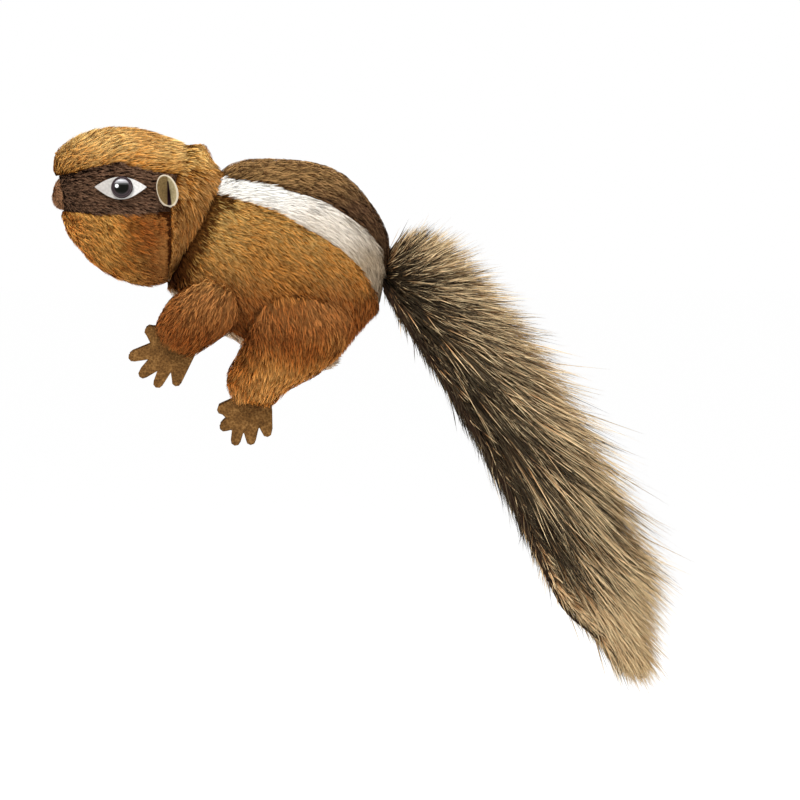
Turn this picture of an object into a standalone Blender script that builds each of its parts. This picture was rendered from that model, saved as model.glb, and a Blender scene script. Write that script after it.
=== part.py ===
"""Plush chipmunk finger puppet, one sewn piece that is worn on an index finger.

The nose points to -X, the tail to +X, up is +Z, and the puppet is symmetric about Y = 0.
The origin is the middle of the mouth of the finger sleeve, under the rump.
Every length in the tables is in millimetres and MM turns it into metres.
"""

import math

import bmesh
import bpy
import numpy as np
from mathutils import Matrix, Vector
from mathutils.bvhtree import BVHTree

MM = 0.001

# Driving dimensions, in millimetres.
GAP = 0.3
SKIN = 2.4
SLEEVE_WALL = 1.2
SLEEVE_MOUTH_RADIUS = 10.0
SLEEVE_END_RADIUS = 8.5
SLEEVE_DEPTH = 49.0
SLEEVE_RISE_DEGREES = 33.0
MOUTH_REACH = 14.0
BELLY_WIDTH = 1.7 * SLEEVE_MOUTH_RADIUS
PAW_THICKNESS = 2.0
FRONT_LEG_SIDE = 14.0
HIND_LEG_SIDE = 15.0
EYE_RADIUS = 3.3
EYE_DOME_HEIGHT = 1.7
EYE_LIFT = 0.4
EYE_STEM_RADIUS = 0.9
EYE_STEM_LENGTH = 8.0
WASHER_RADIUS = 3.2
WASHER_THICKNESS = 1.0
FELT = 0.8
EAR_WALL = 1.0
EAR_LINING = 0.9
BACKING_THICKNESS = 1.6
BACKING_WIDTH = 20.0
LOCK_HEIGHT = 2.2
LOCKS_AROUND = 9
TIERS = 10
PILE_AROUND = 28
CUT_CLEARANCE = 14.0

# Sections of the head from the muzzle to the nape:
# top x, top z, bottom x, bottom z, half width.
HEAD_SECTIONS = (
    (-87.3, 50.0, -87.3, 42.0, 4.5),
    (-86.2, 55.0, -86.0, 37.0, 8.0),
    (-84.0, 58.0, -84.0, 32.5, 11.0),
    (-80.5, 60.2, -80.7, 25.5, 14.3),
    (-75.0, 61.8, -76.0, 20.6, 17.4),
    (-68.5, 62.4, -70.0, 17.2, 19.8),
    (-61.5, 61.4, -63.5, 15.2, 21.4),
    (-55.0, 59.5, -57.5, 14.6, 22.0),
    (-49.5, 57.6, -52.6, 16.6, 21.4),
    (-45.0, 55.6, -49.0, 23.5, 19.0),
    (-41.6, 52.2, -45.0, 31.5, 14.5),
    (-39.3, 48.4, -41.3, 38.0, 8.5),
)

# Sections of the body from inside the neck to the rump, in the same columns.
BODY_SECTIONS = (
    (-47.0, 45.0, -57.0, 19.0, 13.5),
    (-41.0, 48.8, -55.0, 13.0, 16.5),
    (-35.4, 51.6, -49.0, 7.0, 19.0),
    (-28.5, 52.7, -40.0, 1.5, 20.8),
    (-21.0, 52.7, -30.5, -3.5, 22.0),
    (-12.5, 52.0, -21.0, -8.0, 22.5),
    (-5.0, 49.9, -12.0, -10.5, 22.2),
    (1.0, 45.6, -4.5, -9.5, 20.6),
    (6.0, 39.6, 1.5, -4.5, 17.6),
    (9.8, 33.6, 6.6, 3.0, 13.0),
    (11.6, 28.0, 10.2, 12.5, 7.0),
)

# Sections of the left legs from the body outwards, in the same columns.
FRONT_LEG_SECTIONS = (
    (-44.0, 19.0, -31.0, 12.0, 6.5),
    (-49.5, 14.0, -33.0, 5.0, 7.8),
    (-53.4, 10.0, -37.0, 1.5, 7.8),
    (-56.2, 6.0, -42.0, -2.0, 7.2),
    (-57.2, 2.8, -46.3, -5.0, 6.3),
)
HIND_LEG_SECTIONS = (
    (-26.0, 24.0, 2.0, 17.0, 5.5),
    (-29.0, 12.0, 1.0, 3.0, 8.6),
    (-30.0, 2.0, -5.0, -7.0, 9.0),
    (-33.0, -5.5, -12.0, -12.0, 8.4),
    (-36.3, -11.5, -18.5, -15.0, 7.4),
    (-35.6, -16.5, -22.0, -20.0, 6.4),
)

# Side views of the seams: x, z.
STRIPE_TOP_EDGE = (
    (-100.0, 46.0), (-88.0, 47.4), (-79.6, 49.5), (-70.0, 51.8),
    (-60.0, 49.9), (-49.0, 48.6), (-38.0, 48.8),
)
STRIPE_LOW_EDGE = (
    (-100.0, 38.5), (-86.0, 37.4), (-78.0, 36.7), (-66.0, 37.2),
    (-52.0, 37.4), (-40.0, 37.4),
)
EAR_SEAM = ((-49.6, 75.0), (-51.2, 52.0), (-53.6, 38.0), (-53.2, 22.0), (-52.0, 12.0), (-51.0, 0.0))
BACK_SEAM = (
    (-62.0, 49.0), (-38.8, 47.7), (-23.5, 45.9), (-7.4, 41.0),
    (3.5, 34.4), (9.2, 28.2), (11.4, 20.0), (13.5, 0.0), (14.0, -40.0),
)
WHITE_SEAM = (
    (-62.0, 45.5), (-38.8, 42.7), (-23.5, 38.3), (-7.4, 29.8),
    (2.0, 22.8), (8.0, 14.0), (9.5, 4.0), (10.5, -40.0),
)
EYE_CORNERS = ((-76.9, 44.6), (-60.7, 44.6))
EYE_WHITE_TOP = 3.4
EYE_WHITE_LOW = 4.0
EYE_PLACE = (-68.3, 44.4)

# Ears: middle x and z, half width, half height, depth of the cup and its lean.
EAR_PLACE = (-54.7, 43.0)
EAR_HALF_WIDTH = 3.5
EAR_HALF_HEIGHT = 5.1
EAR_DEPTH = 6.5
EAR_STAND = 5.0
EAR_LEAN_DEGREES = 12.0

NOSE_PLACE = (-86.3, 42.2)
NOSE_HALF = (3.0, 4.4, 4.0)

# Paws in side view: wrist, digit tips and the valleys between the digits.
FRONT_PAW_WRIST = ((-47.6, -8.2), (-45.0, -3.0), (-52.0, 3.0), (-56.4, 2.6))
FRONT_PAW_TIPS = ((-61.3, 2.2), (-66.3, -6.6), (-63.0, -12.2), (-58.1, -15.4), (-52.3, -15.0))
FRONT_PAW_VALLEYS = ((-59.6, -2.4), (-60.2, -7.0), (-57.7, -10.5), (-53.6, -10.9))
HIND_PAW_WRIST = ((-23.4, -22.9), (-24.0, -18.0), (-33.0, -16.0), (-35.0, -19.0))
HIND_PAW_TIPS = ((-39.8, -22.1), (-38.9, -27.8), (-34.5, -32.8), (-29.7, -32.6), (-24.6, -30.2))
HIND_PAW_VALLEYS = ((-37.0, -24.6), (-35.3, -28.0), (-31.8, -28.7), (-27.2, -27.2))
DIGIT_RADIUS = 1.5

# Sections of the tail: x and z of the backing, x and z of the pile's crest, half width.
TAIL_SECTIONS = (
    (9.0, 15.0, 11.4, 31.5, 6.5),
    (12.0, 9.8, 18.9, 33.0, 9.1),
    (16.0, 4.0, 28.9, 29.2, 11.3),
    (21.6, -4.6, 39.0, 20.3, 12.7),
    (27.0, -13.0, 48.2, 9.5, 13.6),
    (32.8, -22.3, 56.4, -4.1, 14.1),
    (38.5, -32.2, 66.1, -15.5, 14.4),
    (44.0, -42.0, 74.8, -29.1, 14.4),
    (49.3, -52.3, 81.2, -44.2, 14.1),
    (54.4, -62.8, 86.7, -57.9, 13.4),
    (59.6, -74.3, 91.7, -73.1, 11.7),
    (65.0, -83.5, 93.3, -88.1, 8.7),
    (76.0, -92.5, 90.7, -99.4, 4.8),
)


def start_scene():
    """Empty the scene and make the two collections."""
    for thing in list(bpy.data.objects):
        bpy.data.objects.remove(thing, do_unlink=True)
    made = []
    for name in ("Finger puppet", "Cutters"):
        group = bpy.data.collections.new(name)
        bpy.context.scene.collection.children.link(group)
        made.append(group)
    return made


PARTS, CUTTERS = start_scene()


def material(name, colour, roughness):
    """A cloth, felt or plastic of one colour."""
    made = bpy.data.materials.new(name)
    made.use_nodes = True
    shader = made.node_tree.nodes["Principled BSDF"]
    shader.inputs["Base Color"].default_value = (*colour, 1.0)
    shader.inputs["Roughness"].default_value = roughness
    shader.inputs["Metallic"].default_value = 0.0
    made.diffuse_color = (*colour, 1.0)
    return made


GOLDEN = material("Golden plush", (0.50, 0.27, 0.08), 0.95)
CHEEK = material("Cheek plush", (0.38, 0.17, 0.05), 0.95)
DARK = material("Dark brown plush", (0.07, 0.035, 0.02), 0.95)
BACK = material("Back stripe plush", (0.14, 0.075, 0.035), 0.95)
WHITE = material("White plush", (0.85, 0.82, 0.75), 0.95)
CREAM = material("Cream plush", (0.60, 0.42, 0.28), 0.95)
SUEDE = material("Suede", (0.20, 0.11, 0.05), 0.9)
FELT_WHITE = material("White felt", (0.80, 0.80, 0.82), 0.7)
EYE_PLASTIC = material("Eye plastic", (0.03, 0.02, 0.015), 0.12)
WASHER_PLASTIC = material("Washer plastic", (0.75, 0.75, 0.72), 0.5)
NOSE_PLUSH = material("Nose plush", (0.20, 0.09, 0.04), 0.9)
STUFFING = material("Fibre stuffing", (0.85, 0.85, 0.85), 1.0)
LINING = material("Lining cloth", (0.10, 0.06, 0.04), 0.9)
TAIL_PILE = material("Tail pile", (0.24, 0.15, 0.09), 1.0)
TAIL_CLOTH = material("Tail backing", (0.04, 0.025, 0.02), 0.95)


def put(mesh, name, group, look=None):
    """Link a new object that holds this mesh."""
    made = bpy.data.objects.new(name, mesh)
    group.objects.link(made)
    if look:
        mesh.materials.clear()
        mesh.materials.append(look)
    if group == CUTTERS:
        made.hide_render = True
        made.display_type = "WIRE"
    return made


def to_mesh(shape, name):
    """Close a bmesh into a mesh whose faces point outwards."""
    bmesh.ops.recalc_face_normals(shape, faces=shape.faces)
    mesh = bpy.data.meshes.new(name)
    shape.to_mesh(mesh)
    shape.free()
    return mesh


def smooth_rows(rows, count):
    """Catmull-Rom rows through the given rows, count of them."""
    table = np.array(rows, float)
    table = np.vstack([2 * table[0] - table[1], table, 2 * table[-1] - table[-2]])
    places = np.linspace(0, len(rows) - 1, count)
    made = []
    for place in places:
        first = min(int(place), len(rows) - 2)
        t = place - first
        a, b, c, d = table[first : first + 4]
        made.append(
            0.5 * (2 * b + (c - a) * t + (2 * a - 5 * b + 4 * c - d) * t**2
                   + (3 * b - a - 3 * c + d) * t**3)
        )
    return made


def oval(row, middle, around, fullness):
    """One oval section between its top and its bottom point, as points in metres."""
    top = np.array((row[0], row[1]))
    low = np.array((row[2], row[3]))
    centre = (top + low) / 2
    half = (top - low) / 2
    points = []
    for step in range(around):
        turn = 2 * math.pi * (step + 0.5) / around
        up = math.copysign(abs(math.cos(turn)) ** (2 / fullness), math.cos(turn))
        side = math.copysign(abs(math.sin(turn)) ** (2 / fullness), math.sin(turn))
        x, z = centre + half * up
        points.append(Vector((x, middle + row[4] * side, z)) * MM)
    return points


def loft(rings):
    """A closed form through the rings, with a fan on each end."""
    shape = bmesh.new()
    loops = [[shape.verts.new(point) for point in ring] for ring in rings]
    count = len(loops[0])
    for near, far in zip(loops, loops[1:]):
        for step in range(count):
            after = (step + 1) % count
            shape.faces.new((near[step], near[after], far[after], far[step]))
    for loop, inner in ((loops[0], loops[1]), (loops[-1], loops[-2])):
        middle = sum((v.co for v in loop), Vector()) / count
        before = sum((v.co for v in inner), Vector()) / count
        crown = shape.verts.new(middle + (middle - before) * 0.25)
        for step in range(count):
            shape.faces.new((loop[step], loop[(step + 1) % count], crown))
    return shape


def form(rows, rings, around, middle=0.0, fullness=2.2, grow=0.0):
    """The lofted form of a table of sections, grown or shrunk along its normals by millimetres."""
    shape = loft([oval(row, middle, around, fullness) for row in smooth_rows(rows, rings)])
    bmesh.ops.recalc_face_normals(shape, faces=shape.faces)
    shape.normal_update()
    moves = [vert.normal * grow * MM for vert in shape.verts]
    for vert, move in zip(shape.verts, moves):
        vert.co += move
    return shape


def side_prism(name, outline, near, far):
    """A cutter: an outline in side view drawn out from y = near to y = far."""
    shape = bmesh.new()
    face = shape.faces.new([shape.verts.new(Vector((x, near, z)) * MM) for x, z in outline])
    drawn = bmesh.ops.extrude_face_region(shape, geom=[face])
    moved = [part for part in drawn["geom"] if isinstance(part, bmesh.types.BMVert)]
    bmesh.ops.translate(shape, verts=moved, vec=(0, (far - near) * MM, 0))
    bmesh.ops.triangulate(shape, faces=[f for f in shape.faces if len(f.verts) > 4])
    return put(to_mesh(shape, name), name, CUTTERS)


def beside(path, distance):
    """The path moved sideways, to the left of its direction for a positive distance."""
    points = np.array(path, float)
    runs = np.diff(points, axis=0)
    normals = np.stack([-runs[:, 1], runs[:, 0]], 1) / np.linalg.norm(runs, axis=1)[:, None]
    joints = np.vstack([normals[:1], normals[:-1] + normals[1:], normals[-1:]])
    joints /= (joints * np.vstack([normals, normals[-1:]])).sum(1)[:, None]
    return [tuple(point) for point in points + joints * distance]


def turned(name, profile, group, steps=20, look=None, loop=False):
    """A turned shape: a profile of (radius, height) in millimetres, open on its axis or a loop."""
    mesh = bpy.data.meshes.new(name)
    points = [(radius * MM, 0.0, height * MM) for radius, height in profile]
    edges = [(i, i + 1) for i in range(len(points) - 1)]
    if loop:
        edges.append((len(points) - 1, 0))
    mesh.from_pydata(points, edges, [])
    made = put(mesh, name, group, look)
    screw = made.modifiers.new("Turn", "SCREW")
    screw.steps = steps
    screw.render_steps = steps
    screw.use_merge_vertices = True
    screw.merge_threshold = 0.00001
    settle(made)
    shape = bmesh.new()
    shape.from_mesh(made.data)
    bmesh.ops.recalc_face_normals(shape, faces=shape.faces)
    shape.to_mesh(made.data)
    shape.free()
    return made


def settle(piece):
    """Turn the modifiers of a piece into its mesh."""
    bpy.context.view_layer.update()
    seen = piece.evaluated_get(bpy.context.evaluated_depsgraph_get())
    mesh = bpy.data.meshes.new_from_object(seen)
    piece.modifiers.clear()
    old = piece.data
    piece.data = mesh
    bpy.data.meshes.remove(old)
    mesh.name = piece.name


def carve(piece, cutter, operation="DIFFERENCE"):
    """Add one exact Boolean to a piece."""
    cut = piece.modifiers.new(operation.title(), "BOOLEAN")
    cut.operation = operation
    cut.solver = "EXACT"
    cut.object = cutter


def place(piece, matrix):
    """Put a matrix into the mesh of a piece."""
    piece.data.transform(matrix)


def soften(piece, degrees=50):
    """Smooth shading with sharp edges where the faces turn by more than the angle."""
    piece.data.shade_smooth()
    piece.data.set_sharp_from_angle(angle=math.radians(degrees))


def mirrored(piece, name):
    """The right-hand copy of a left-hand piece."""
    shape = bmesh.new()
    shape.from_mesh(piece.data)
    bmesh.ops.scale(shape, vec=(1, -1, 1), verts=shape.verts)
    bmesh.ops.reverse_faces(shape, faces=shape.faces)
    mesh = bpy.data.meshes.new(name)
    shape.to_mesh(mesh)
    shape.free()
    made = put(mesh, name, PARTS, piece.data.materials[0])
    soften(made)
    return made


def shell(name, outer, remove, keep=()):
    """A whole skin, or one part of it, before it is cut into panels."""
    made = put(outer.data.copy(), name, CUTTERS)
    for cutter in remove:
        carve(made, cutter)
        settle(made)
    for cutter in keep:
        carve(made, cutter, "INTERSECT")
        settle(made)
    return made


def panel(name, outer, look, keep, remove=()):
    """One panel of a skin: the part inside some cutters and outside others."""
    made = put(outer.data.copy(), name, PARTS, look)
    for cutter in keep:
        carve(made, cutter, "INTERSECT")
    for cutter in remove:
        carve(made, cutter)
    settle(made)
    soften(made)
    return made


HEAD_GRID = (15, 24)
HEAD_INNER_GRID = (8, 14)
BODY_GRID = (14, 26)
BODY_INNER_GRID = (9, 16)
LEG_GRID = (7, 14)

# How far the cutters reach past the head and the body.
head_table = np.array(HEAD_SECTIONS)
body_table = np.array(BODY_SECTIONS)
REACH = max(head_table[:, 4].max(), body_table[:, 4].max()) + CUT_CLEARANCE
HEAD_TOP = head_table[:, 1].max() + CUT_CLEARANCE
HEAD_LOW = head_table[:, 3].min() - CUT_CLEARANCE
HEAD_FRONT = head_table[:, 0].min() - CUT_CLEARANCE
HEAD_REAR = head_table[:, 0].max() + CUT_CLEARANCE
BODY_TOP = body_table[:, 1].max() + CUT_CLEARANCE
BODY_LOW = body_table[:, 3].min() - CUT_CLEARANCE
BODY_REAR = body_table[:, 0].max() + CUT_CLEARANCE

head_outer = put(to_mesh(form(HEAD_SECTIONS, *HEAD_GRID), "head_form"), "head_form", CUTTERS)
head_inner = put(
    to_mesh(form(HEAD_SECTIONS, *HEAD_INNER_GRID, grow=-SKIN), "head_room"), "head_room", CUTTERS
)
head_clear = put(
    to_mesh(form(HEAD_SECTIONS, *HEAD_GRID, grow=GAP), "head_clearance"), "head_clearance", CUTTERS
)
body_outer = put(
    to_mesh(form(BODY_SECTIONS, *BODY_GRID, fullness=2.3), "body_form"), "body_form", CUTTERS
)
body_inner = put(
    to_mesh(form(BODY_SECTIONS, *BODY_INNER_GRID, fullness=2.3, grow=-SKIN), "body_room"),
    "body_room",
    CUTTERS,
)
body_clear = put(
    to_mesh(form(BODY_SECTIONS, *BODY_GRID, fullness=2.3, grow=GAP), "body_clearance"),
    "body_clearance",
    CUTTERS,
)

# The finger sleeve: a turned cup whose axis rises towards the neck.
rise = math.radians(SLEEVE_RISE_DEGREES)
SLEEVE_TURN = Matrix.Rotation(-(math.pi / 2 - rise), 4, "Y") @ Matrix.Rotation(0.07, 4, "Z")


def cup_end(radius, depth):
    """The domed end of the sleeve as a profile, from its side to its axis."""
    return [
        (radius * math.cos(turn), depth - radius * 0.8 * (1 - math.sin(turn)))
        for turn in (math.radians(angle) for angle in (0, 22.5, 45, 67.5))
    ] + [(0.0, depth)]


def sleeve_line(radius_at_mouth, radius_at_end, depth):
    """The side and the domed end of a sleeve."""
    return [(radius_at_mouth, 0.0)] + cup_end(radius_at_end, depth)


outside = sleeve_line(
    SLEEVE_MOUTH_RADIUS + SLEEVE_WALL, SLEEVE_END_RADIUS + SLEEVE_WALL, SLEEVE_DEPTH + SLEEVE_WALL
)
inside = sleeve_line(SLEEVE_MOUTH_RADIUS, SLEEVE_END_RADIUS, SLEEVE_DEPTH)
sleeve = turned("finger_sleeve", outside[::-1] + inside, PARTS, look=LINING)
place(sleeve, SLEEVE_TURN)
soften(sleeve)
room = sleeve_line(
    SLEEVE_MOUTH_RADIUS + SLEEVE_WALL + GAP,
    SLEEVE_END_RADIUS + SLEEVE_WALL + GAP,
    SLEEVE_DEPTH + SLEEVE_WALL + GAP,
)
room = [(0.0, -MOUTH_REACH), (room[0][0], -MOUTH_REACH)] + room
sleeve_room = turned("sleeve_room", room, CUTTERS)
place(sleeve_room, SLEEVE_TURN)

# The panels of the head.
stripe_top = beside(STRIPE_TOP_EDGE, GAP / 2)
crown_zone = side_prism(
    "crown_zone",
    stripe_top + [(STRIPE_TOP_EDGE[-1][0], HEAD_TOP), (STRIPE_TOP_EDGE[0][0], HEAD_TOP)],
    -REACH,
    REACH,
)
stripe_zone = side_prism(
    "stripe_zone",
    beside(STRIPE_TOP_EDGE, -GAP / 2) + beside(STRIPE_LOW_EDGE, GAP / 2)[::-1],
    -REACH,
    -GAP / 2,
)
cheek_zone = side_prism(
    "cheek_zone",
    beside(STRIPE_LOW_EDGE, -GAP / 2)
    + [(STRIPE_LOW_EDGE[-1][0], HEAD_LOW), (STRIPE_LOW_EDGE[0][0], HEAD_LOW)],
    -REACH,
    -GAP / 2,
)
seam_low, seam_top = EAR_SEAM[-1][1], EAR_SEAM[0][1]
front_zone = side_prism(
    "front_zone",
    beside(EAR_SEAM, -GAP / 2) + [(HEAD_FRONT, seam_low), (HEAD_FRONT, seam_top)],
    -REACH,
    REACH,
)
nape_zone = side_prism(
    "nape_zone",
    beside(EAR_SEAM, GAP / 2) + [(HEAD_REAR, seam_low), (HEAD_REAR, seam_top)],
    -REACH,
    REACH,
)

# The left eye stands on the surface of the head, along its normal.
surface = bmesh.new()
surface.from_mesh(head_outer.data)
finder = BVHTree.FromBMesh(surface)
hit, normal, _, _ = finder.ray_cast(
    Vector((EYE_PLACE[0] * MM, -0.1, EYE_PLACE[1] * MM)), Vector((0, 1, 0))
)
ear_hit, _, _, _ = finder.ray_cast(
    Vector((EAR_PLACE[0] * MM, -0.1, EAR_PLACE[1] * MM)), Vector((0, 1, 0))
)
surface.free()
normal = (normal + Vector((0, -0.6, 0))).normalized()
EYE_FRAME = Matrix.Translation(hit) @ normal.to_track_quat("Z", "Y").to_matrix().to_4x4()

EYE_BASE = FELT + 2 * GAP + EYE_LIFT
dome = [
    (EYE_RADIUS * math.sin(turn), EYE_BASE + 0.5 + (EYE_DOME_HEIGHT - 0.5) * math.cos(turn))
    for turn in (math.radians(angle) for angle in (0, 22.5, 45, 67.5, 90))
]
stem_end = -EYE_STEM_LENGTH
eye_profile = dome + [
    (EYE_RADIUS, EYE_BASE),
    (EYE_STEM_RADIUS, EYE_BASE),
    (EYE_STEM_RADIUS, stem_end),
    (0.0, stem_end),
]
eye = turned("eye_left", eye_profile, PARTS, steps=18, look=EYE_PLASTIC)
place(eye, EYE_FRAME)
soften(eye)
washer_top = -SKIN - 2.0
hole = EYE_STEM_RADIUS + GAP
washer = turned(
    "eye_washer_left",
    [
        (hole, washer_top),
        (WASHER_RADIUS, washer_top),
        (WASHER_RADIUS, washer_top - WASHER_THICKNESS),
        (hole, washer_top - WASHER_THICKNESS),
    ],
    PARTS,
    steps=14,
    look=WASHER_PLASTIC,
    loop=True,
)
place(washer, EYE_FRAME)
soften(washer)
stem_room = turned(
    "stem_room",
    [
        (0.0, EYE_BASE + EYE_DOME_HEIGHT),
        (hole, EYE_BASE + EYE_DOME_HEIGHT),
        (hole, washer_top + GAP),
        (WASHER_RADIUS + GAP, washer_top + GAP),
        (WASHER_RADIUS + GAP, washer_top - WASHER_THICKNESS - GAP),
        (hole, washer_top - WASHER_THICKNESS - GAP),
        (hole, stem_end - GAP),
        (0.0, stem_end - GAP),
    ],
    CUTTERS,
    steps=12,
)
place(stem_room, EYE_FRAME)

head_shell = shell("head_shell", head_outer, [head_inner])
face_shell = shell("face_shell", head_shell, [], [front_zone])
panel("crown", face_shell, GOLDEN, [crown_zone])
stripe_left = panel("eye_stripe_left", face_shell, DARK, [stripe_zone], [stem_room])
cheek_left = panel("cheek_left", face_shell, CHEEK, [cheek_zone])
panel("head_back", head_shell, GOLDEN, [nape_zone])
mirrored(stripe_left, "eye_stripe_right")
mirrored(cheek_left, "cheek_right")


def almond():
    """The outline of an eye white: two arcs between the corners of the eye."""
    (x0, z0), (x1, z1) = EYE_CORNERS
    upper = [
        (x0 + (x1 - x0) * t, z0 + (z1 - z0) * t + EYE_WHITE_TOP * math.sin(math.pi * t) ** 0.9)
        for t in (i / 8 for i in range(9))
    ]
    lower = [
        (x0 + (x1 - x0) * t, z0 + (z1 - z0) * t - EYE_WHITE_LOW * math.sin(math.pi * t) ** 0.9)
        for t in (i / 8 for i in range(7, 0, -1))
    ]
    return upper + lower


eye_zone = side_prism("eye_zone", almond(), -REACH, -5.0)
felt_outer = put(
    to_mesh(form(HEAD_SECTIONS, *HEAD_GRID, grow=GAP + FELT), "felt_form"), "felt_form", CUTTERS
)
eye_white = panel(
    "eye_white_left", felt_outer, FELT_WHITE, [eye_zone], [head_clear, stem_room]
)
mirrored(eye_white, "eye_white_right")
mirrored(eye, "eye_right")
mirrored(washer, "eye_washer_right")


def both_sides(cutter):
    """A cutter and its copy on the right-hand side."""
    shape = bmesh.new()
    shape.from_mesh(cutter.data)
    bmesh.ops.scale(shape, vec=(1, -1, 1), verts=shape.verts)
    bmesh.ops.reverse_faces(shape, faces=shape.faces)
    mesh = bpy.data.meshes.new(cutter.name + "_right")
    shape.to_mesh(mesh)
    shape.free()
    return [cutter, put(mesh, cutter.name + "_right", CUTTERS)]


head_core = put(
    to_mesh(form(HEAD_SECTIONS, *HEAD_INNER_GRID, grow=-SKIN - GAP), "head_stuffing"),
    "head_stuffing",
    PARTS,
    STUFFING,
)
for cutter in both_sides(stem_room):
    carve(head_core, cutter)
settle(head_core)
soften(head_core)

# The nose is a small padded bump on the end of the muzzle.
ball = bmesh.new()
bmesh.ops.create_uvsphere(ball, u_segments=12, v_segments=8, radius=1.0)
bmesh.ops.scale(ball, vec=[half * MM for half in NOSE_HALF], verts=ball.verts)
bmesh.ops.translate(ball, vec=(NOSE_PLACE[0] * MM, 0, NOSE_PLACE[1] * MM), verts=ball.verts)
nose = put(to_mesh(ball, "nose"), "nose", PARTS, NOSE_PLUSH)
carve(nose, head_clear)
settle(nose)
soften(nose)

# Each ear is a folded cup sewn into the seam behind the cheek, in two layers.
EAR_FRAME = (
    Matrix.Translation(ear_hit)
    @ Matrix.Rotation(math.radians(EAR_LEAN_DEGREES), 4, "Y")
    @ Matrix.Rotation(math.pi / 2, 4, "X")
)


def ear_cup(name, look, start, wall):
    """One layer of an ear: a deep cup whose oval mouth faces outwards."""
    angles = [math.radians(angle) for angle in (0, 30, 60, 90)]
    outer = [(math.cos(a) * (1 - start), -math.sin(a) * (1 - start)) for a in angles]
    inner = [(math.cos(a) * (1 - start - wall), -math.sin(a) * (1 - start - wall)) for a in angles]
    outer[-1] = (0.0, outer[-1][1])
    inner[-1] = (0.0, inner[-1][1])
    profile = outer[::-1] + inner
    made = turned(name, profile, PARTS, steps=14, look=look)
    stretch = Matrix.Diagonal((EAR_HALF_WIDTH, EAR_HALF_HEIGHT, EAR_DEPTH, 1))
    rise_out = Matrix.Translation((0, 0, EAR_STAND * MM))
    place(made, EAR_FRAME @ rise_out @ stretch)
    return made


ear_scale = EAR_HALF_WIDTH
ear_back = ear_cup("ear_back_left", CHEEK, 0.0, EAR_WALL / ear_scale)
ear_lining = ear_cup(
    "ear_lining_left", CREAM, (EAR_WALL + GAP) / ear_scale, EAR_LINING / ear_scale
)
for layer, name in ((ear_back, "ear_back_right"), (ear_lining, "ear_lining_right")):
    carve(layer, head_clear)
    settle(layer)
    soften(layer)
    mirrored(layer, name)

# The panels of the body.
back_zone = side_prism(
    "back_zone",
    beside(BACK_SEAM, GAP / 2)
    + [(BODY_REAR, BACK_SEAM[-1][1]), (BODY_REAR, BODY_TOP), (BACK_SEAM[0][0], BODY_TOP)],
    -REACH,
    REACH,
)
white_zone = side_prism(
    "white_zone",
    beside(BACK_SEAM, -GAP / 2) + beside(WHITE_SEAM, GAP / 2)[::-1],
    -REACH,
    -GAP / 2,
)
flank_zone = side_prism(
    "flank_zone",
    beside(WHITE_SEAM, -GAP / 2) + [(WHITE_SEAM[0][0], WHITE_SEAM[-1][1])],
    -REACH,
    -GAP / 2,
)
BELLY_LINE = ((-62.0, 16.0), (-46.0, 12.0), (-20.0, 6.0), (20.0, 4.0))
belly_zone = side_prism(
    "belly_zone",
    list(BELLY_LINE) + [(BELLY_LINE[-1][0], BODY_LOW), (BELLY_LINE[0][0], BODY_LOW)],
    -BELLY_WIDTH / 2,
    BELLY_WIDTH / 2,
)
belly_room = side_prism(
    "belly_room",
    beside(BELLY_LINE, GAP) + [(BELLY_LINE[-1][0], BODY_LOW), (BELLY_LINE[0][0], BODY_LOW)],
    -BELLY_WIDTH / 2 - GAP,
    BELLY_WIDTH / 2 + GAP,
)
body_shell = shell("body_shell", body_outer, [body_inner, head_clear, sleeve_room])
panel("back_stripe", body_shell, BACK, [back_zone])
white_stripe = panel("white_stripe_left", body_shell, WHITE, [white_zone])
flank = panel("flank_left", body_shell, GOLDEN, [flank_zone], [belly_room])
panel("belly", body_shell, CREAM, [belly_zone])
mirrored(white_stripe, "white_stripe_right")
mirrored(flank, "flank_right")

body_core = put(
    to_mesh(
        form(BODY_SECTIONS, *BODY_INNER_GRID, fullness=2.3, grow=-SKIN - GAP), "body_stuffing"
    ),
    "body_stuffing",
    PARTS,
    STUFFING,
)
carve(body_core, head_clear)
carve(body_core, sleeve_room)
settle(body_core)
soften(body_core)


def leg(name, rows, middle, look):
    """A stuffed leg, cut where it is sewn to the body and the head."""
    made = put(
        to_mesh(form(rows, *LEG_GRID, middle=-middle, fullness=2.1), name), name, PARTS, look
    )
    for cutter in (body_clear, head_clear):
        carve(made, cutter)
    settle(made)
    soften(made)
    return made


def paw_outline(wrist, tips, valleys):
    """The outline of a paw: round digits between valleys, and a wrist."""
    roots = [wrist[-1]] + list(valleys) + [wrist[0]]
    points = []
    for tip, before, after in zip(tips, roots, roots[1:]):
        base = (np.array(before) + np.array(after)) / 2
        along = np.array(tip) - base
        along /= np.linalg.norm(along)
        side = np.array((-along[1], along[0]))
        centre = np.array(tip) - along * DIGIT_RADIUS
        for turn in (math.radians(angle) for angle in (-90, -45, 0, 45, 90)):
            spot = centre + DIGIT_RADIUS * (along * math.cos(turn) + side * math.sin(turn))
            points.append(tuple(spot))
        points.append(tuple(after))
    return points[:-1] + list(wrist)


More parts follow.
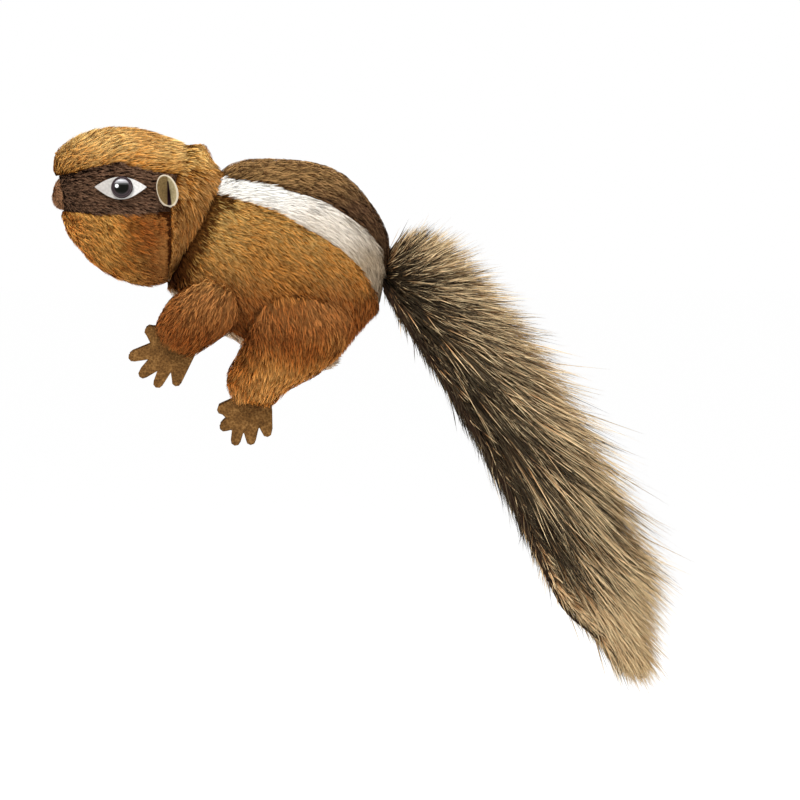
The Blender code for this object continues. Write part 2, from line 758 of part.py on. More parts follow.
def paw(name, wrist, tips, valleys, middle, leg_rows):
    """A flat suede paw, cut short by the end of its leg."""
    outline = paw_outline(wrist, tips, valleys)
    shape = bmesh.new()
    low = -middle - PAW_THICKNESS / 2
    face = shape.faces.new([shape.verts.new(Vector((x, low, z)) * MM) for x, z in outline])
    drawn = bmesh.ops.extrude_face_region(shape, geom=[face])
    moved = [part for part in drawn["geom"] if isinstance(part, bmesh.types.BMVert)]
    bmesh.ops.translate(shape, verts=moved, vec=(0, PAW_THICKNESS * MM, 0))
    made = put(to_mesh(shape, name), name, PARTS, SUEDE)
    clear = form(leg_rows, *LEG_GRID, middle=-middle, fullness=2.1, grow=GAP)
    carve(made, put(to_mesh(clear, name + "_room"), name + "_room", CUTTERS))
    settle(made)
    soften(made, 40)
    return made


for part_name, rows, middle, wrist, tips, valleys in (
    ("front", FRONT_LEG_SECTIONS, FRONT_LEG_SIDE, FRONT_PAW_WRIST, FRONT_PAW_TIPS, FRONT_PAW_VALLEYS),
    ("hind", HIND_LEG_SECTIONS, HIND_LEG_SIDE, HIND_PAW_WRIST, HIND_PAW_TIPS, HIND_PAW_VALLEYS),
):
    limb = leg(part_name + "_leg_left", rows, middle, GOLDEN)
    mirrored(limb, part_name + "_leg_right")
    hand = paw(part_name + "_paw_left", wrist, tips, valleys, middle, rows)
    mirrored(hand, part_name + "_paw_right")


def tail_ring(row, share, tier, around):
    """One section of the pile: flat on the backing, round and ridged with locks above."""
    base = np.array((row[0], row[1]))
    crest = np.array((row[2], row[3]))
    rise_by = crest - base
    height = np.linalg.norm(rise_by)
    up = rise_by / height
    lift = BACKING_THICKNESS + GAP
    points = []
    for step in range(around):
        turn = math.pi * (step / (around - 1) - 0.5)
        lock = 0.5 + 0.5 * math.cos(2 * LOCKS_AROUND * turn + math.pi * tier)
        fringe = LOCK_HEIGHT * share * lock * min(1.0, height / 20.0)
        out = (row[4] - LOCK_HEIGHT + fringe) * math.copysign(abs(math.sin(turn)) ** 0.8, turn)
        level = lift + (height - lift - LOCK_HEIGHT + fringe) * math.cos(turn) ** 0.75
        x, z = base + up * level
        points.append(Vector((x, out, z)) * MM)
    return points


rings = []
fine = smooth_rows(TAIL_SECTIONS, 3 * TIERS + 1)
for index, row in enumerate(fine):
    stage = index % 3
    rings.append(tail_ring(row, (0.15, 0.6, 1.0)[stage], index // 3, PILE_AROUND))
pile = put(to_mesh(loft(rings), "tail_pile"), "tail_pile", PARTS, TAIL_PILE)
carve(pile, body_clear)
settle(pile)
soften(pile, 60)

backing_rings = []
for row in fine:
    base = np.array((row[0], row[1]))
    up = np.array((row[2], row[3])) - base
    up /= np.linalg.norm(up)
    half = min(BACKING_WIDTH / 2, row[4] - 1.0)
    ring = []
    for level, side in ((0, -1), (BACKING_THICKNESS, -1), (BACKING_THICKNESS, 1), (0, 1)):
        x, z = base + up * level
        ring.append(Vector((x, half * side, z)) * MM)
    backing_rings.append(ring)
backing = put(to_mesh(loft(backing_rings), "tail_backing"), "tail_backing", PARTS, TAIL_CLOTH)
carve(backing, body_clear)
carve(backing, sleeve_room)
settle(backing)
soften(backing)
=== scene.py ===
"""A plush chipmunk finger puppet on a plain pale ground.

The puppet is sewn from short plush over stuffing, with a sleeve for a finger, suede paws and a
long-haired tail. Lengths are metres. The nose is at -X, the tail at +X, and up is +Z.
"""

import math

import bmesh
import bpy
import numpy as np
from mathutils import Matrix, Vector
from mathutils.bvhtree import BVHTree
from mathutils.kdtree import KDTree
from mathutils.noise import noise_vector


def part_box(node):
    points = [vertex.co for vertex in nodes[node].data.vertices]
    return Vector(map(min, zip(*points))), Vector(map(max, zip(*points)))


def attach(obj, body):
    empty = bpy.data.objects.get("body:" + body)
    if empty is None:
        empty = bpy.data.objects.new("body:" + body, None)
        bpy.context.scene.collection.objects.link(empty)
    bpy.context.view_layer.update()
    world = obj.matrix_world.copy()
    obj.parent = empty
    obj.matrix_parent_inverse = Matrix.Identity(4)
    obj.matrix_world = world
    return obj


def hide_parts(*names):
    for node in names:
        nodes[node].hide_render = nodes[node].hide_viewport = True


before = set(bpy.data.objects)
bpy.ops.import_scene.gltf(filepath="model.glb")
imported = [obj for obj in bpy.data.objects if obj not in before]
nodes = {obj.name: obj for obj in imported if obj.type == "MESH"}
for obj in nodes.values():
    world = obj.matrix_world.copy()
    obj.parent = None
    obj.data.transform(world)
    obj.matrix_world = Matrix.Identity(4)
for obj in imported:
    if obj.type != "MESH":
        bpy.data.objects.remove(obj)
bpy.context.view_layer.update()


# Stuffing, sleeve and washers
# White fibre fills the head and the body, a brown tricot sleeve for the finger runs up
# through the body, and a plain plastic washer holds each eye from inside.
class Value:
    """A shader socket that takes part in Python expressions."""

    def __init__(self, tree, socket):
        self.tree = tree
        self.socket = socket

    def _math(self, operation, first, second):
        return self.tree.node("ShaderNodeMath", {"operation": operation}, {0: first, 1: second})

    def __add__(self, other):
        return self._math("ADD", self, other)

    def __radd__(self, other):
        return self._math("ADD", other, self)

    def __sub__(self, other):
        return self._math("SUBTRACT", self, other)

    def __rsub__(self, other):
        return self._math("SUBTRACT", other, self)

    def __mul__(self, other):
        return self._math("MULTIPLY", self, other)

    def __rmul__(self, other):
        return self._math("MULTIPLY", other, self)


class Tree:
    """A node tree whose maths is written as expressions on its sockets."""

    def __init__(self, tree):
        self.nodes = tree.nodes
        self.links = tree.links

    def node(self, kind, settings=None, inputs=None, output=0):
        """A node with its settings, then its inputs, wrapped at one of its outputs."""
        made = self.nodes.new(kind)
        for key, value in (settings or {}).items():
            if key == "stops":
                ramp = made.color_ramp
                while len(ramp.elements) < len(value):
                    ramp.elements.new(0.5)
                for element, (place, colour) in zip(ramp.elements, value):
                    element.position = place
                    element.color = (*colour, 1.0)
            else:
                setattr(made, key, value)
        for key, value in (inputs or {}).items():
            if isinstance(value, Value):
                self.links.new(value.socket, made.inputs[key])
            else:
                made.inputs[key].default_value = value
        return Value(self, made.outputs[output])

    def mix(self, share, first, second, blend="MIX"):
        """Two colours mixed."""
        settings = {"data_type": "RGBA", "blend_type": blend}
        return self.node("ShaderNodeMix", settings, {0: share, 6: first, 7: second}, output=2)

    def ramp(self, share, *stops):
        """A ramp of colours."""
        return self.node("ShaderNodeValToRGB", {"stops": stops}, {"Fac": share})


class Finish(Tree):
    """A material on the Principled shader."""

    def __init__(self, name, roughness=0.9, **constants):
        self.material = bpy.data.materials.new(name)
        self.material.use_nodes = True
        super().__init__(self.material.node_tree)
        self.shader = self.nodes["Principled BSDF"]
        self.shader.inputs["Roughness"].default_value = roughness
        for key, value in constants.items():
            self.shader.inputs[key.replace("_", " ")].default_value = value

    def place(self):
        """Object coordinates."""
        return self.node("ShaderNodeTexCoord", output="Object")

    def along(self, axis):
        """The place along one axis."""
        return self.node("ShaderNodeSeparateXYZ", {}, {0: self.place()}, output=axis)

    def attribute(self, name):
        """A number that the mesh carries at its points."""
        return self.node("ShaderNodeAttribute", {"attribute_name": name}, output=2)

    def noise(self, scale, detail=3.0):
        """Noise on object coordinates, from 0 to 1."""
        inputs = {"Vector": self.place(), "Scale": scale, "Detail": detail}
        return self.node("ShaderNodeTexNoise", {}, inputs)

    def give(self, name, value):
        """Link a value to an input of the shader."""
        self.links.new(value.socket, self.shader.inputs[name])

    def bump(self, height, distance, strength=1.0):
        """A bump that feeds the normal."""
        inputs = {"Height": height, "Distance": distance, "Strength": strength}
        self.give("Normal", self.node("ShaderNodeBump", {}, inputs))


def linear(red, green, blue):
    """A colour given in 0 to 255 steps of the screen, as linear light."""
    steps = [c / 255 for c in (red, green, blue)]
    return tuple(c / 12.92 if c <= 0.04045 else ((c + 0.055) / 1.055) ** 2.4 for c in steps)


def cloth(name, dark, light, scale, roughness=0.95, depth=0.0002):
    """A fine cloth: two shades of one colour with a small grain."""
    made = Finish(name, roughness, Specular_IOR_Level=0.1)
    grain = made.noise(scale, 4.0)
    made.give("Base Color", made.ramp(grain, (0.3, linear(*dark)), (0.7, linear(*light))))
    made.bump(grain, depth, 0.6)
    return made.material


def wear(node_name, material):
    """A CAD piece that is shown as it is, in a finish of its own."""
    piece = nodes[node_name]
    piece.data.materials.clear()
    piece.data.materials.append(material)
    piece.data.shade_smooth()
    return piece


stuffing = cloth("Polyester fibre", (214, 214, 210), (244, 244, 240), 900)
for name in ("head_stuffing", "body_stuffing"):
    wear(name, stuffing)
tricot = cloth("Brown tricot", (66, 45, 30), (104, 76, 54), 1600)
wear("finger_sleeve", tricot)
washer = Finish("Washer plastic", 0.45)
washer_shade = washer.ramp(washer.noise(150), (0.2, linear(206, 205, 200)), (0.8, linear(224, 223, 218)))
washer.give("Base Color", washer_shade)
for side in ("left", "right"):
    wear("eye_washer_" + side, washer.material)


# Head: crown, eye stripes, cheeks and nape
# Six panels of short plush sewn into a ball over stuffing. The pile is brushed away from the nose,
# stands about 3 mm off its cloth, lies in small clumps and is pressed down into each seam.
def merged(node_name):
    """A CAD piece as a bmesh whose faces share their corners."""
    shape = bmesh.new()
    shape.from_mesh(nodes[node_name].data)
    bmesh.ops.remove_doubles(shape, verts=shape.verts, dist=1e-6)
    shape.normal_update()
    return shape


def outward(point, spine):
    """The direction away from a spine, given as two points."""
    start, end = spine
    run = end - start
    share = max(0.0, min(1.0, (point - start).dot(run) / run.length_squared))
    return (point - start - run * share).normalized()


def outer_faces(shape, spine, facing):
    """The faces that look away from a spine."""
    return [f for f in shape.faces if f.normal.dot(outward(f.calc_center_median(), spine)) > facing]


def nearest_of(points):
    """A tree that finds the nearest of some points."""
    tree = KDTree(len(points))
    for index, point in enumerate(points):
        tree.insert(point, index)
    tree.balance()
    return tree


CLOTH_INSIDE = 0.0012  # about how far the cloth of a panel lies inside its solid


class Skin:
    """The cloth of a plush piece: its outer faces, pulled in to leave room for the pile."""

    def __init__(self, node_name, spine, nap, facing):
        nap_at = nap if callable(nap) else lambda point: nap
        shape = merged(node_name)
        edges = list({e for f in outer_faces(shape, spine, facing) for e in f.edges})
        bmesh.ops.subdivide_edges(shape, edges=edges, cuts=1, use_grid_fill=True, smooth=0.0)
        bmesh.ops.triangulate(shape, faces=shape.faces)
        shape.normal_update()
        outer = outer_faces(shape, spine, facing)
        kept = set(outer)
        normals = {}
        for face in outer:
            for vert in face.verts:
                normals[vert] = normals.get(vert, Vector()) + face.normal * face.calc_area()
        for _ in range(2):
            smoothed = {}
            for vert, normal in normals.items():
                total = normal.normalized() * 2
                for edge in vert.link_edges:
                    other = edge.other_vert(vert)
                    if other in normals:
                        total += normals[other].normalized()
                smoothed[vert] = total
            normals = smoothed
        for vert in normals:
            normals[vert].normalize()
        self.edge = nearest_of(
            [vert.co.copy() for vert in normals if any(face not in kept for face in vert.link_faces)]
        )
        for vert, normal in normals.items():
            vert.co -= normal * nap_at(vert.co)
        corners = [list(f.verts) for f in outer]
        self.points = np.array([[v.co for v in c] for c in corners])
        self.normals = np.array([[normals[v] for v in c] for c in corners])
        self.area = sum(f.calc_area() for f in outer)
        shape.verts.index_update()
        self.verts = np.array([v.co for v in shape.verts])
        self.faces = np.array([[v.index for v in f.verts] for f in shape.faces])
        shape.free()

    def scatter(self, count, random):
        """Random roots on the outer faces with their normals."""
        a, b, c = self.points[:, 0], self.points[:, 1], self.points[:, 2]
        area = np.linalg.norm(np.cross(b - a, c - a), axis=1)
        pick = random.choice(len(area), count, p=area / area.sum())
        u, v = random.random(count), random.random(count)
        flip = u + v > 1
        u[flip], v[flip] = 1 - u[flip], 1 - v[flip]
        weights = np.stack([1 - u - v, u, v], 1)[:, :, None]
        roots = (self.points[pick] * weights).sum(1)
        normals = unit((self.normals[pick] * weights).sum(1))
        return roots, normals

    def from_seam(self, roots):
        """The distance of each root from the nearest edge of the panel."""
        return np.array([max(0.0, self.edge.find(Vector(r))[2] - CLOTH_INSIDE) for r in roots])


def unit(vectors):
    """Vectors made one long."""
    return vectors / np.maximum(np.linalg.norm(vectors, axis=-1, keepdims=True), 1e-9)


def flowing(directions, normals):
    """Directions laid into the surface."""
    return unit(directions - normals * (directions * normals).sum(1, keepdims=True))


def waves(points, scale, seed):
    """Smooth random vectors over space."""
    shift = Vector((seed * 3.1, seed * 1.7, seed * 0.9))
    return np.array([noise_vector(Vector(p) * scale + shift) for p in points])


def strands(roots, normals, flow, length, width, lift, random, steps=2, tuft=None, curl=0.5, taper=1.6):
    """Tapered blades of hair: points, faces of three or four corners, and their share of the length."""
    count = len(roots)
    places = np.linspace(0, 1, steps + 1)
    offset = np.zeros((count, 3))
    if tuft:
        clumps, pull, spread, stretch = tuft
        centres = roots[random.choice(count, max(9, min(int(clumps), count // 3)), replace=False)]
        tree = nearest_of(centres)
        near = np.array([[hit[1] for hit in tree.find_n(Vector(r), 9)] for r in roots])
        gaps = centres[near] - roots[:, None]
        along = (gaps * flow[:, None]).sum(2)
        measure = (gaps**2).sum(2) - (1 - 1 / stretch**2) * along**2
        pick, best = np.arange(count), measure.argmin(1)
        near, apart = near[pick, best], np.sqrt(np.maximum(measure[pick, best], 0))
        across = gaps[pick, best] - flow * along[pick, best][:, None]
        offset = across * pull
        swing = random.normal(0, spread, (len(centres), 3))[near]
        offset += flowing(swing, normals) * np.linalg.norm(swing, axis=1, keepdims=True) * length[:, None]
        # Painted shade between tufts: a strand is lighter at the middle of its tuft and darker at its edge.
        painted_tuft_light = 1 - np.clip(apart / (2.2 * np.median(apart)), 0, 1) ** 1.5
        tone = 0.55 * random.random(len(centres))[near] + 0.45 * painted_tuft_light
        lean_in = -across / np.maximum(2.2 * np.median(apart), 1e-6)
    else:
        tone = random.random(count)
        lean_in = np.zeros((count, 3))
    roll = random.normal(0, 0.6, count)[:, None]
    side = unit(np.cross(flow, normals))
    side = side * np.cos(roll) + normals * np.sin(roll)
    rows = []
    for place in places:
        along = flow * (length * (place * (1 - 0.5 * lift)))[:, None]
        rise_up = normals * (length * lift * (place - curl * place**2))[:, None]
        middle = roots + along + rise_up + offset * place**1.4
        half = side * (width * (1 - place**taper) / 2)[:, None]
        rows.append((middle - half, middle + half) if place < 1 else (middle,))
    flat = [column for row in rows for column in row]
    points = np.stack(flat, 1).reshape(-1, 3)
    each = len(flat)
    base = np.arange(count)[:, None] * each
    quads = [base + np.array((2 * i, 2 * i + 1, 2 * i + 3, 2 * i + 2)) for i in range(steps - 1)]
    last = 2 * (steps - 1)
    tips = base + np.array((last, last + 1, last + 2))
    share = np.tile(np.repeat(places, [2] * steps + [1]), count)
    bend = (normals + lean_in * 0.9).repeat(each, axis=0)
    lean = random.normal(0, 0.30, (count, 3)).repeat(each, axis=0)
    return {
        "points": points,
        "quads": np.concatenate(quads) if quads else np.zeros((0, 4), int),
        "tips": tips,
        "pile": share,
        "tone": (0.68 * tone + 0.32 * random.random(count)).repeat(each),
        "normals": unit(bend + lean),
    }


def hull(spines):
    """The outer faces of several CAD pieces, given with their spines, as a tree."""
    points, faces = [], []
    for node_name, spine in spines.items():
        shape = merged(node_name)
        for face in outer_faces(shape, spine, 0.3):
            faces.append(range(len(points), len(points) + len(face.verts)))
            points += [v.co.copy() for v in face.verts]
        shape.free()
    return BVHTree.FromPolygons(points, faces)


def solid_tree(node_name):
    """A whole CAD piece as a tree."""
    shape = merged(node_name)
    tree = BVHTree.FromBMesh(shape)
    shape.free()
    return tree


def settled(tips, outside, high, solids=()):
    """Tips laid down to a height over the panels and lifted out of the pieces under them."""
    laid = []
    for tip, most in zip(tips, high):
        tip = Vector(tip)
        place, normal, _, _ = outside.find_nearest(tip)
        height = (tip - place).dot(normal)
        if height > most:
            tip -= normal * (height - most)
        for tree in solids:
            place, normal, _, apart = tree.find_nearest(tip)
            depth = (place - tip).dot(normal)
            if 0 < depth < 0.006 and depth > 0.97 * apart:
                tip += normal * (depth + 0.0010)
        laid.append(tip)
    return np.array(laid)


def joined(first, second):
    """Two lots of hair as one."""
    shift = len(first["points"])
    both = {key: np.concatenate([first[key], second[key]]) for key in ("points", "pile", "tone", "normals")}
    for key in ("quads", "tips"):
        both[key] = np.concatenate([first[key], second[key] + shift])
    return both


def shown(name, data):
    """An object in the scene."""
    made = bpy.data.objects.new(name, data)
    bpy.context.scene.collection.objects.link(made)
    return made


def plush_piece(name, skin_verts, skin_faces, hair, materials):
    """One object of cloth and hair, with the hair's share of its length and its tone as attributes."""
    solid = len(skin_verts)
    points = np.concatenate([skin_verts, hair["points"]])
    quads, tips = hair["quads"] + solid, hair["tips"] + solid
    corners = np.concatenate([skin_faces.ravel(), quads.ravel(), tips.ravel()])
    sizes = np.repeat((3, 4, 3), (len(skin_faces), len(quads), len(tips)))
    mesh = bpy.data.meshes.new(name)
    mesh.vertices.add(len(points))
    mesh.vertices.foreach_set("co", points.astype(np.float32).ravel())
    mesh.loops.add(len(corners))
    mesh.loops.foreach_set("vertex_index", corners.astype(np.int32))
    mesh.polygons.add(len(sizes))
    mesh.polygons.foreach_set("loop_start", (np.cumsum(sizes) - sizes).astype(np.int32))
    hairy = np.arange(len(sizes)) >= len(skin_faces)
    mesh.polygons.foreach_set("material_index", hairy.astype(np.int32))
    mesh.update()
    for key in ("pile", "tone"):
        layer = mesh.attributes.new(key, "FLOAT", "POINT")
        layer.data.foreach_set("value", np.concatenate([np.zeros(solid), hair[key]]).astype(np.float32))
    mesh.shade_smooth()
    own = np.zeros((len(points), 3), np.float32)
    mesh.vertices.foreach_get("normal", own.ravel())
    mesh.vertex_normals.foreach_get("vector", own.ravel())
    own[solid:] = hair["normals"]
    mesh.normals_split_custom_set_from_vertices(own.tolist())
    for material in materials:
        mesh.materials.append(material)
    return shown(name, mesh)


def pile_finish(name, root, middle, tip, patch=0.36, blotch=70.0, rust=None, rusty=0.5, fall=(), axis=2):
    """Hair that is darker at its root than at its tip, partly in its own colour and partly as painted shade
    deep in the pile, in tufts of different tone and hue.

    The fall lists places along an axis with the tint there.
    """
    made = Finish(name, 0.8, Specular_IOR_Level=0.03)
    along, tone = made.attribute("pile"), made.attribute("tone")
    colour = made.ramp(along, (0.02, linear(*root)), (0.42, linear(*middle)), (0.9, linear(*tip)))
    patches = made.noise(blotch, 3.0)
    if rust:
        share = made.ramp(
            patches + (tone - 0.5) * 0.25, (rusty - 0.10, (0, 0, 0)), (rusty + 0.14, (1, 1, 1))
        )
        colour = made.mix(1.0, colour, made.mix(share, (1, 1, 1, 1), (*rust, 1)), "MULTIPLY")
    # The fall multiplies in a tint along one axis. On the crown and the nape it is painted light, lighter
    # and bluer high up, and on the white stripes it is painted shade low down.
    if fall:
        low, high = fall[0][0], fall[-1][0]
        stops = [((place - low) / (high - low), tint) for place, tint in fall]
        wander = (patches - 0.5) * 0.3
        tint = made.ramp((made.along(axis) - low) * (1 / (high - low)) + wander, *stops)
        colour = made.mix(1.0, colour, tint, "MULTIPLY")
    # A negative tone, from the painted seam shade and from the dark longer hairs, makes the colour darker
    # and redder.
    if patch > 0.1:
        deep = made.ramp(tone * -1.0, (0.0, (1, 1, 1)), (0.5, (1.0, 0.62, 0.42)))
        colour = made.mix(1.0, colour, deep, "MULTIPLY")
    # The tone lightens or darkens each strand: at random per tuft and per strand, with painted shade at the
    # edges of tufts and beside seams.
    shade = 1 - patch + tone * (2.0 * patch)
    grey = made.node("ShaderNodeCombineColor", {}, {0: shade, 1: shade, 2: shade})
    made.give("Base Color", made.mix(1.0, colour, grey, "MULTIPLY"))
    return made.material


def backing_finish(name, colour):
    """The knitted cloth under the hair, in the shade of the roots."""
    made = Finish(name, 1.0, Specular_IOR_Level=0.0)
    knit = made.noise(1200, 2.0)
    dark = tuple(c * 0.6 for c in colour)
    made.give("Base Color", made.ramp(knit, (0.3, linear(*dark)), (0.7, linear(*colour))))
    made.bump(knit, 0.0002, 0.5)
    return made.material


def between(value, start, end):
    """How far a value has come from a start to an end, held from 0 to 1."""
    return np.clip((value - start) / (end - start), 0, 1)


FUR_OVER = 0.0003
SQUARE_MM = 1e-6
SHORT_PLUSH = {
    "nap": 0.0016,  # how far the cloth lies inside the solid
    "facing": 0.45,  # how far outwards the faces look that carry hair
    "length": 0.0056,
    "width": 0.00037,
    "lift": 0.52,  # from 0, lying, to 1, upright
    "swirl": 0.35,  # how far neighbours turn together
    "stray": 0.15,  # how far each turns alone
    "crease": 0.55,  # the share of the length that is left beside a seam
    "crease_width": 0.003,
    "edge": 0.35,  # how much painted shade darkens the hair beside a seam
    "edge_width": 0.0016,
    "edge_mask": lambda roots: 1.0,
    "trim": None,  # where hair is cut off at the seam, and how far past it
    # where the roots show: there the painted root shade is lifted towards the tip colour
    "light_roots": lambda roots: np.zeros(len(roots)),
    "tuft": (2.2, 0.5, 0.08, 3.0),  # clumps to a square millimetre, pull, spread and stretch
    "guard": 0.14,  # the share of longer hairs over the pile
    "bright": 0.55,  # the share of those that are pale
    "over": lambda tips: FUR_OVER,  # how far the tips stand outside the solids
    "solids": (),
}


def coat(skin, comb, count, outside, random, seed, guard, style):
    """One lot of hair: the dense pile, or the few longer hairs that lie over it."""
    roots, normals = skin.scatter(count, random)
    flow = flowing(unit(comb(roots, normals)) + waves(roots, 90.0, seed) * style["swirl"], normals)
    flow = flowing(flow + random.normal(0, style["stray"], flow.shape), normals)
    away = skin.from_seam(roots)
    near = style["crease"] + (1 - style["crease"]) * between(away, 0, style["crease_width"])
    lengths = style["length"] * near * (0.8 + 0.4 * random.random(count)) * (1.1 if guard else 1.0)
    if style["trim"]:
        mask, allowance = style["trim"]
        lengths = np.where(mask(roots), np.minimum(lengths, away + allowance), lengths)
    density, *clumping = style["tuft"]
    hair = strands(
        roots,
        normals,
        flow,
        lengths,
        np.full(count, style["width"]) * (0.7 + 0.6 * random.random(count)),
        style["lift"] * (1.4 if guard else 1.0),
        random,
        steps=2 if guard else 1,
        tuft=None if guard else (density * skin.area / SQUARE_MM, *clumping),
        curl=0.55,
    )
    each = len(hair["tone"]) // count
    if guard:
        bright = random.random(count) < style["bright"]
        shade = np.where(bright, random.uniform(0.85, 1.3, count), random.uniform(-0.45, 0.1, count))
        hair["tone"] = shade.repeat(each)
    # Painted shade: hair beside a seam is darkened where shade falls in the crease, down to a floor of
    # tone.
    depth = style["edge"] * between(away, style["edge_width"], 0) * style["edge_mask"](roots)
    hair["tone"] = np.maximum(hair["tone"] - depth.repeat(each), -0.65)
    # Where the roots show, their painted shade is lifted towards the tip colour.
    share = 0.6 * style["light_roots"](roots).repeat(each)
    hair["pile"] = hair["pile"] + (1 - hair["pile"]) * share
    tips = hair["points"][each - 1 :: each]
    over = style["over"](tips) + random.uniform(-0.0003, 0.0004, count) + (FUR_OVER if guard else 0.0)
    hair["points"][each - 1 :: each] = settled(tips, outside, over, style["solids"])
    return hair


def plush(node_name, look, comb, count, slot_name, spine, outside, seed, **style):
    """One plush panel, made of its cloth and its hair in place of the CAD piece."""
    style = {**SHORT_PLUSH, **style}
    skin = Skin(node_name, spine, style["nap"], style["facing"])
    random = np.random.default_rng(seed)
    over_hair = int(count * style["guard"])
    hair = coat(skin, comb, count, outside, random, seed, False, style)
    if over_hair:
        hair = joined(hair, coat(skin, comb, over_hair, outside, random, seed, True, style))
    made = plush_piece(node_name + "_plush", skin.verts, skin.faces, hair, look)
    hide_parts(node_name)
    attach(made, "root")


NOSE_TIP = np.array((-0.0885, 0.0, 0.0430))
MUZZLE_FRONT = -0.077  # the fur stands out ahead of this
BROW_TOP = 0.0565
NAPE_HANGS = 0.0515  # below this height the nape hangs out over the neck
NAPE_STANDS = 0.0535  # above this height it stands up behind the crown
HEAD_SPINE = (Vector((-0.068, 0, 0.041)), Vector((-0.060, 0, 0.038)))
HEAD_PANELS = ("crown", "head_back", "eye_stripe_left", "eye_stripe_right", "cheek_left", "cheek_right")
HEAD_OUTSIDE = hull({name: HEAD_SPINE for name in HEAD_PANELS})


def over_brow(tips):
    """The fur of the crown stands out at the brow, ahead of the eyes."""
    x, _, z = tips.T
    level = between(z, 0.044, 0.047) * between(z, BROW_TOP, BROW_TOP - 0.005)
    return FUR_OVER + 0.0022 * between(x, MUZZLE_FRONT, MUZZLE_FRONT - 0.006) * level


def over_cheek(tips):
    """The fur of the cheeks stands out a little at the front of the muzzle."""
    return FUR_OVER + 0.0008 * between(tips[:, 0], MUZZLE_FRONT, MUZZLE_FRONT - 0.006)


def over_stripe(tips):
    """The dark fur of the eye stripe lies under the fur around it, deepest beside the nose."""
    return -0.0003 - 0.0004 * between(tips[:, 0], -0.080, -0.083)


def over_nape(tips):
    """The fur of the nape hangs out over the neck, and stands up behind the crown."""
    x, _, z = tips.T
    low = between(z, NAPE_HANGS, NAPE_HANGS - 0.003)
    top = between(z, NAPE_STANDS, NAPE_STANDS + 0.003) * between(x, -0.0420, -0.0450)
    return FUR_OVER + between(x, -0.052, -0.048) * (0.0026 * low + 0.0034 * top)


def brow_nap(point):
    """The cloth of the crown lies furthest out at the brow."""
    level = between(point.z, BROW_TOP, BROW_TOP - 0.005)
    return 0.0015 - 0.0022 * between(point.x, MUZZLE_FRONT, MUZZLE_FRONT - 0.006) * level


def cheek_nap(point):
    """The cloth of the cheek lies furthest out at the front, below the nose."""
    front = between(point.x, MUZZLE_FRONT, MUZZLE_FRONT - 0.005) * between(point.z, 0.028, 0.033)
    return 0.0014 - 0.0016 * front


def stripe_nap(point):
    """The cloth of the eye stripe lies deepest beside the nose and shallowest under the brow."""
    front = between(point.x, -0.0825, -0.0845)
    brow = between(point.z, 0.0455, 0.0475) * between(point.x, -0.066, -0.070)
    return 0.0008 + 0.0003 * front - 0.0006 * brow


def nape_nap(point):
    """The cloth of the nape lies furthest out where its fur hangs out or stands up."""
    low = between(point.z, NAPE_HANGS, NAPE_HANGS - 0.003)
    top = between(point.z, NAPE_STANDS, NAPE_STANDS + 0.003) * between(point.x, -0.0430, -0.0460)
    return 0.0014 - between(point.x, -0.050, -0.045) * (0.0024 * low + 0.0030 * top)


def nape_seam_shade(roots):
    """Painted shade along the nape's seams: whole at the neck crease, faint along the crown, nothing along
    the seam that runs down from the ear.
    """
    x, _, z = roots.T
    seam = -0.0539 + 0.09 * (0.038 - z)
    return between(x - seam, 0.001, 0.002) * (z < 0.042) + 0.3 * (z > 0.046) * (x < -0.046)


def muzzle_roots(roots):
    """Where the fur parts at the front of the muzzle and its roots show, so their painted shade is lifted.
    """
    return between(roots[:, 0], -0.075, -0.080)


def from_nose(roots, normals):
    """Brushed away from the nose, drooping a little below it."""
    ways = unit(roots - NOSE_TIP)
    ways[:, 2] -= 0.35 * between(roots[:, 2], 0.045, 0.020)
    return ways


def back_from_brow(roots, normals):
    """Brushed straight back over the crown, level along the eye stripe."""
    ways = unit(roots - NOSE_TIP)
    ways[:, 2] += 0.2 * between(roots[:, 2], 0.058, 0.048)
    return ways


def down_nape(roots, normals):
    """Brushed back and down behind the ears."""
    high = between(roots[:, 2], 0.035, 0.055)
    return np.stack([0.35 + 0.6 * high, np.zeros(len(roots)), -0.95 + 0.75 * high], 1)


GOLD = ((84, 46, 14), (176, 124, 56), (236, 190, 116))
GOLD_RUST = {"rust": (0.88, 0.68, 0.52), "rusty": 0.60}
# The crown's fall is painted light: lighter and bluer at the top of the head, darker low down.
golden = [
    backing_finish("Golden plush cloth", (112, 68, 28)),
    pile_finish(
        "Golden pile", *GOLD, **GOLD_RUST,
        fall=((0.036, (0.66, 0.54, 0.50)), (0.050, (0.77, 0.69, 0.59)), (0.0575, (1.08, 1.25, 1.46))),
    ),
]
# The nape's fall is lighter and bluer high up, painted light from above, and darker and redder low down by
# the neck.
honey = [
    backing_finish("Nape plush cloth", (112, 68, 28)),
    pile_finish(
        "Nape pile", *GOLD, **GOLD_RUST,
        fall=((0.036, (0.66, 0.54, 0.50)), (0.047, (0.84, 0.76, 0.75)), (0.0525, (1.20, 1.32, 1.40)),
              (0.0575, (1.22, 1.38, 1.55))),
    ),
]
tan = [
    backing_finish("Cheek plush cloth", (96, 54, 22)),
    pile_finish(
        "Cheek pile", (70, 34, 10), (146, 92, 36), (206, 148, 78), rust=(0.84, 0.60, 0.46), rusty=0.56,
        fall=((-0.080, (1.22, 1.38, 1.40)), (-0.069, (1.22, 1.40, 1.46)), (-0.060, (0.69, 0.62, 0.65)),
              (-0.053, (0.66, 0.60, 0.66))),
        axis=0,
    ),
]
umber = [
    backing_finish("Dark plush cloth", (40, 24, 15)),
    pile_finish("Dark pile", (20, 11, 6), (48, 30, 20), (116, 88, 68), patch=0.75),
]
plush(
    "crown", golden, back_from_brow, 32000, "golden_plush", HEAD_SPINE, HEAD_OUTSIDE, seed=1, lift=0.42,
    crease=0.6, nap=brow_nap, over=over_brow, edge=0.2,
)
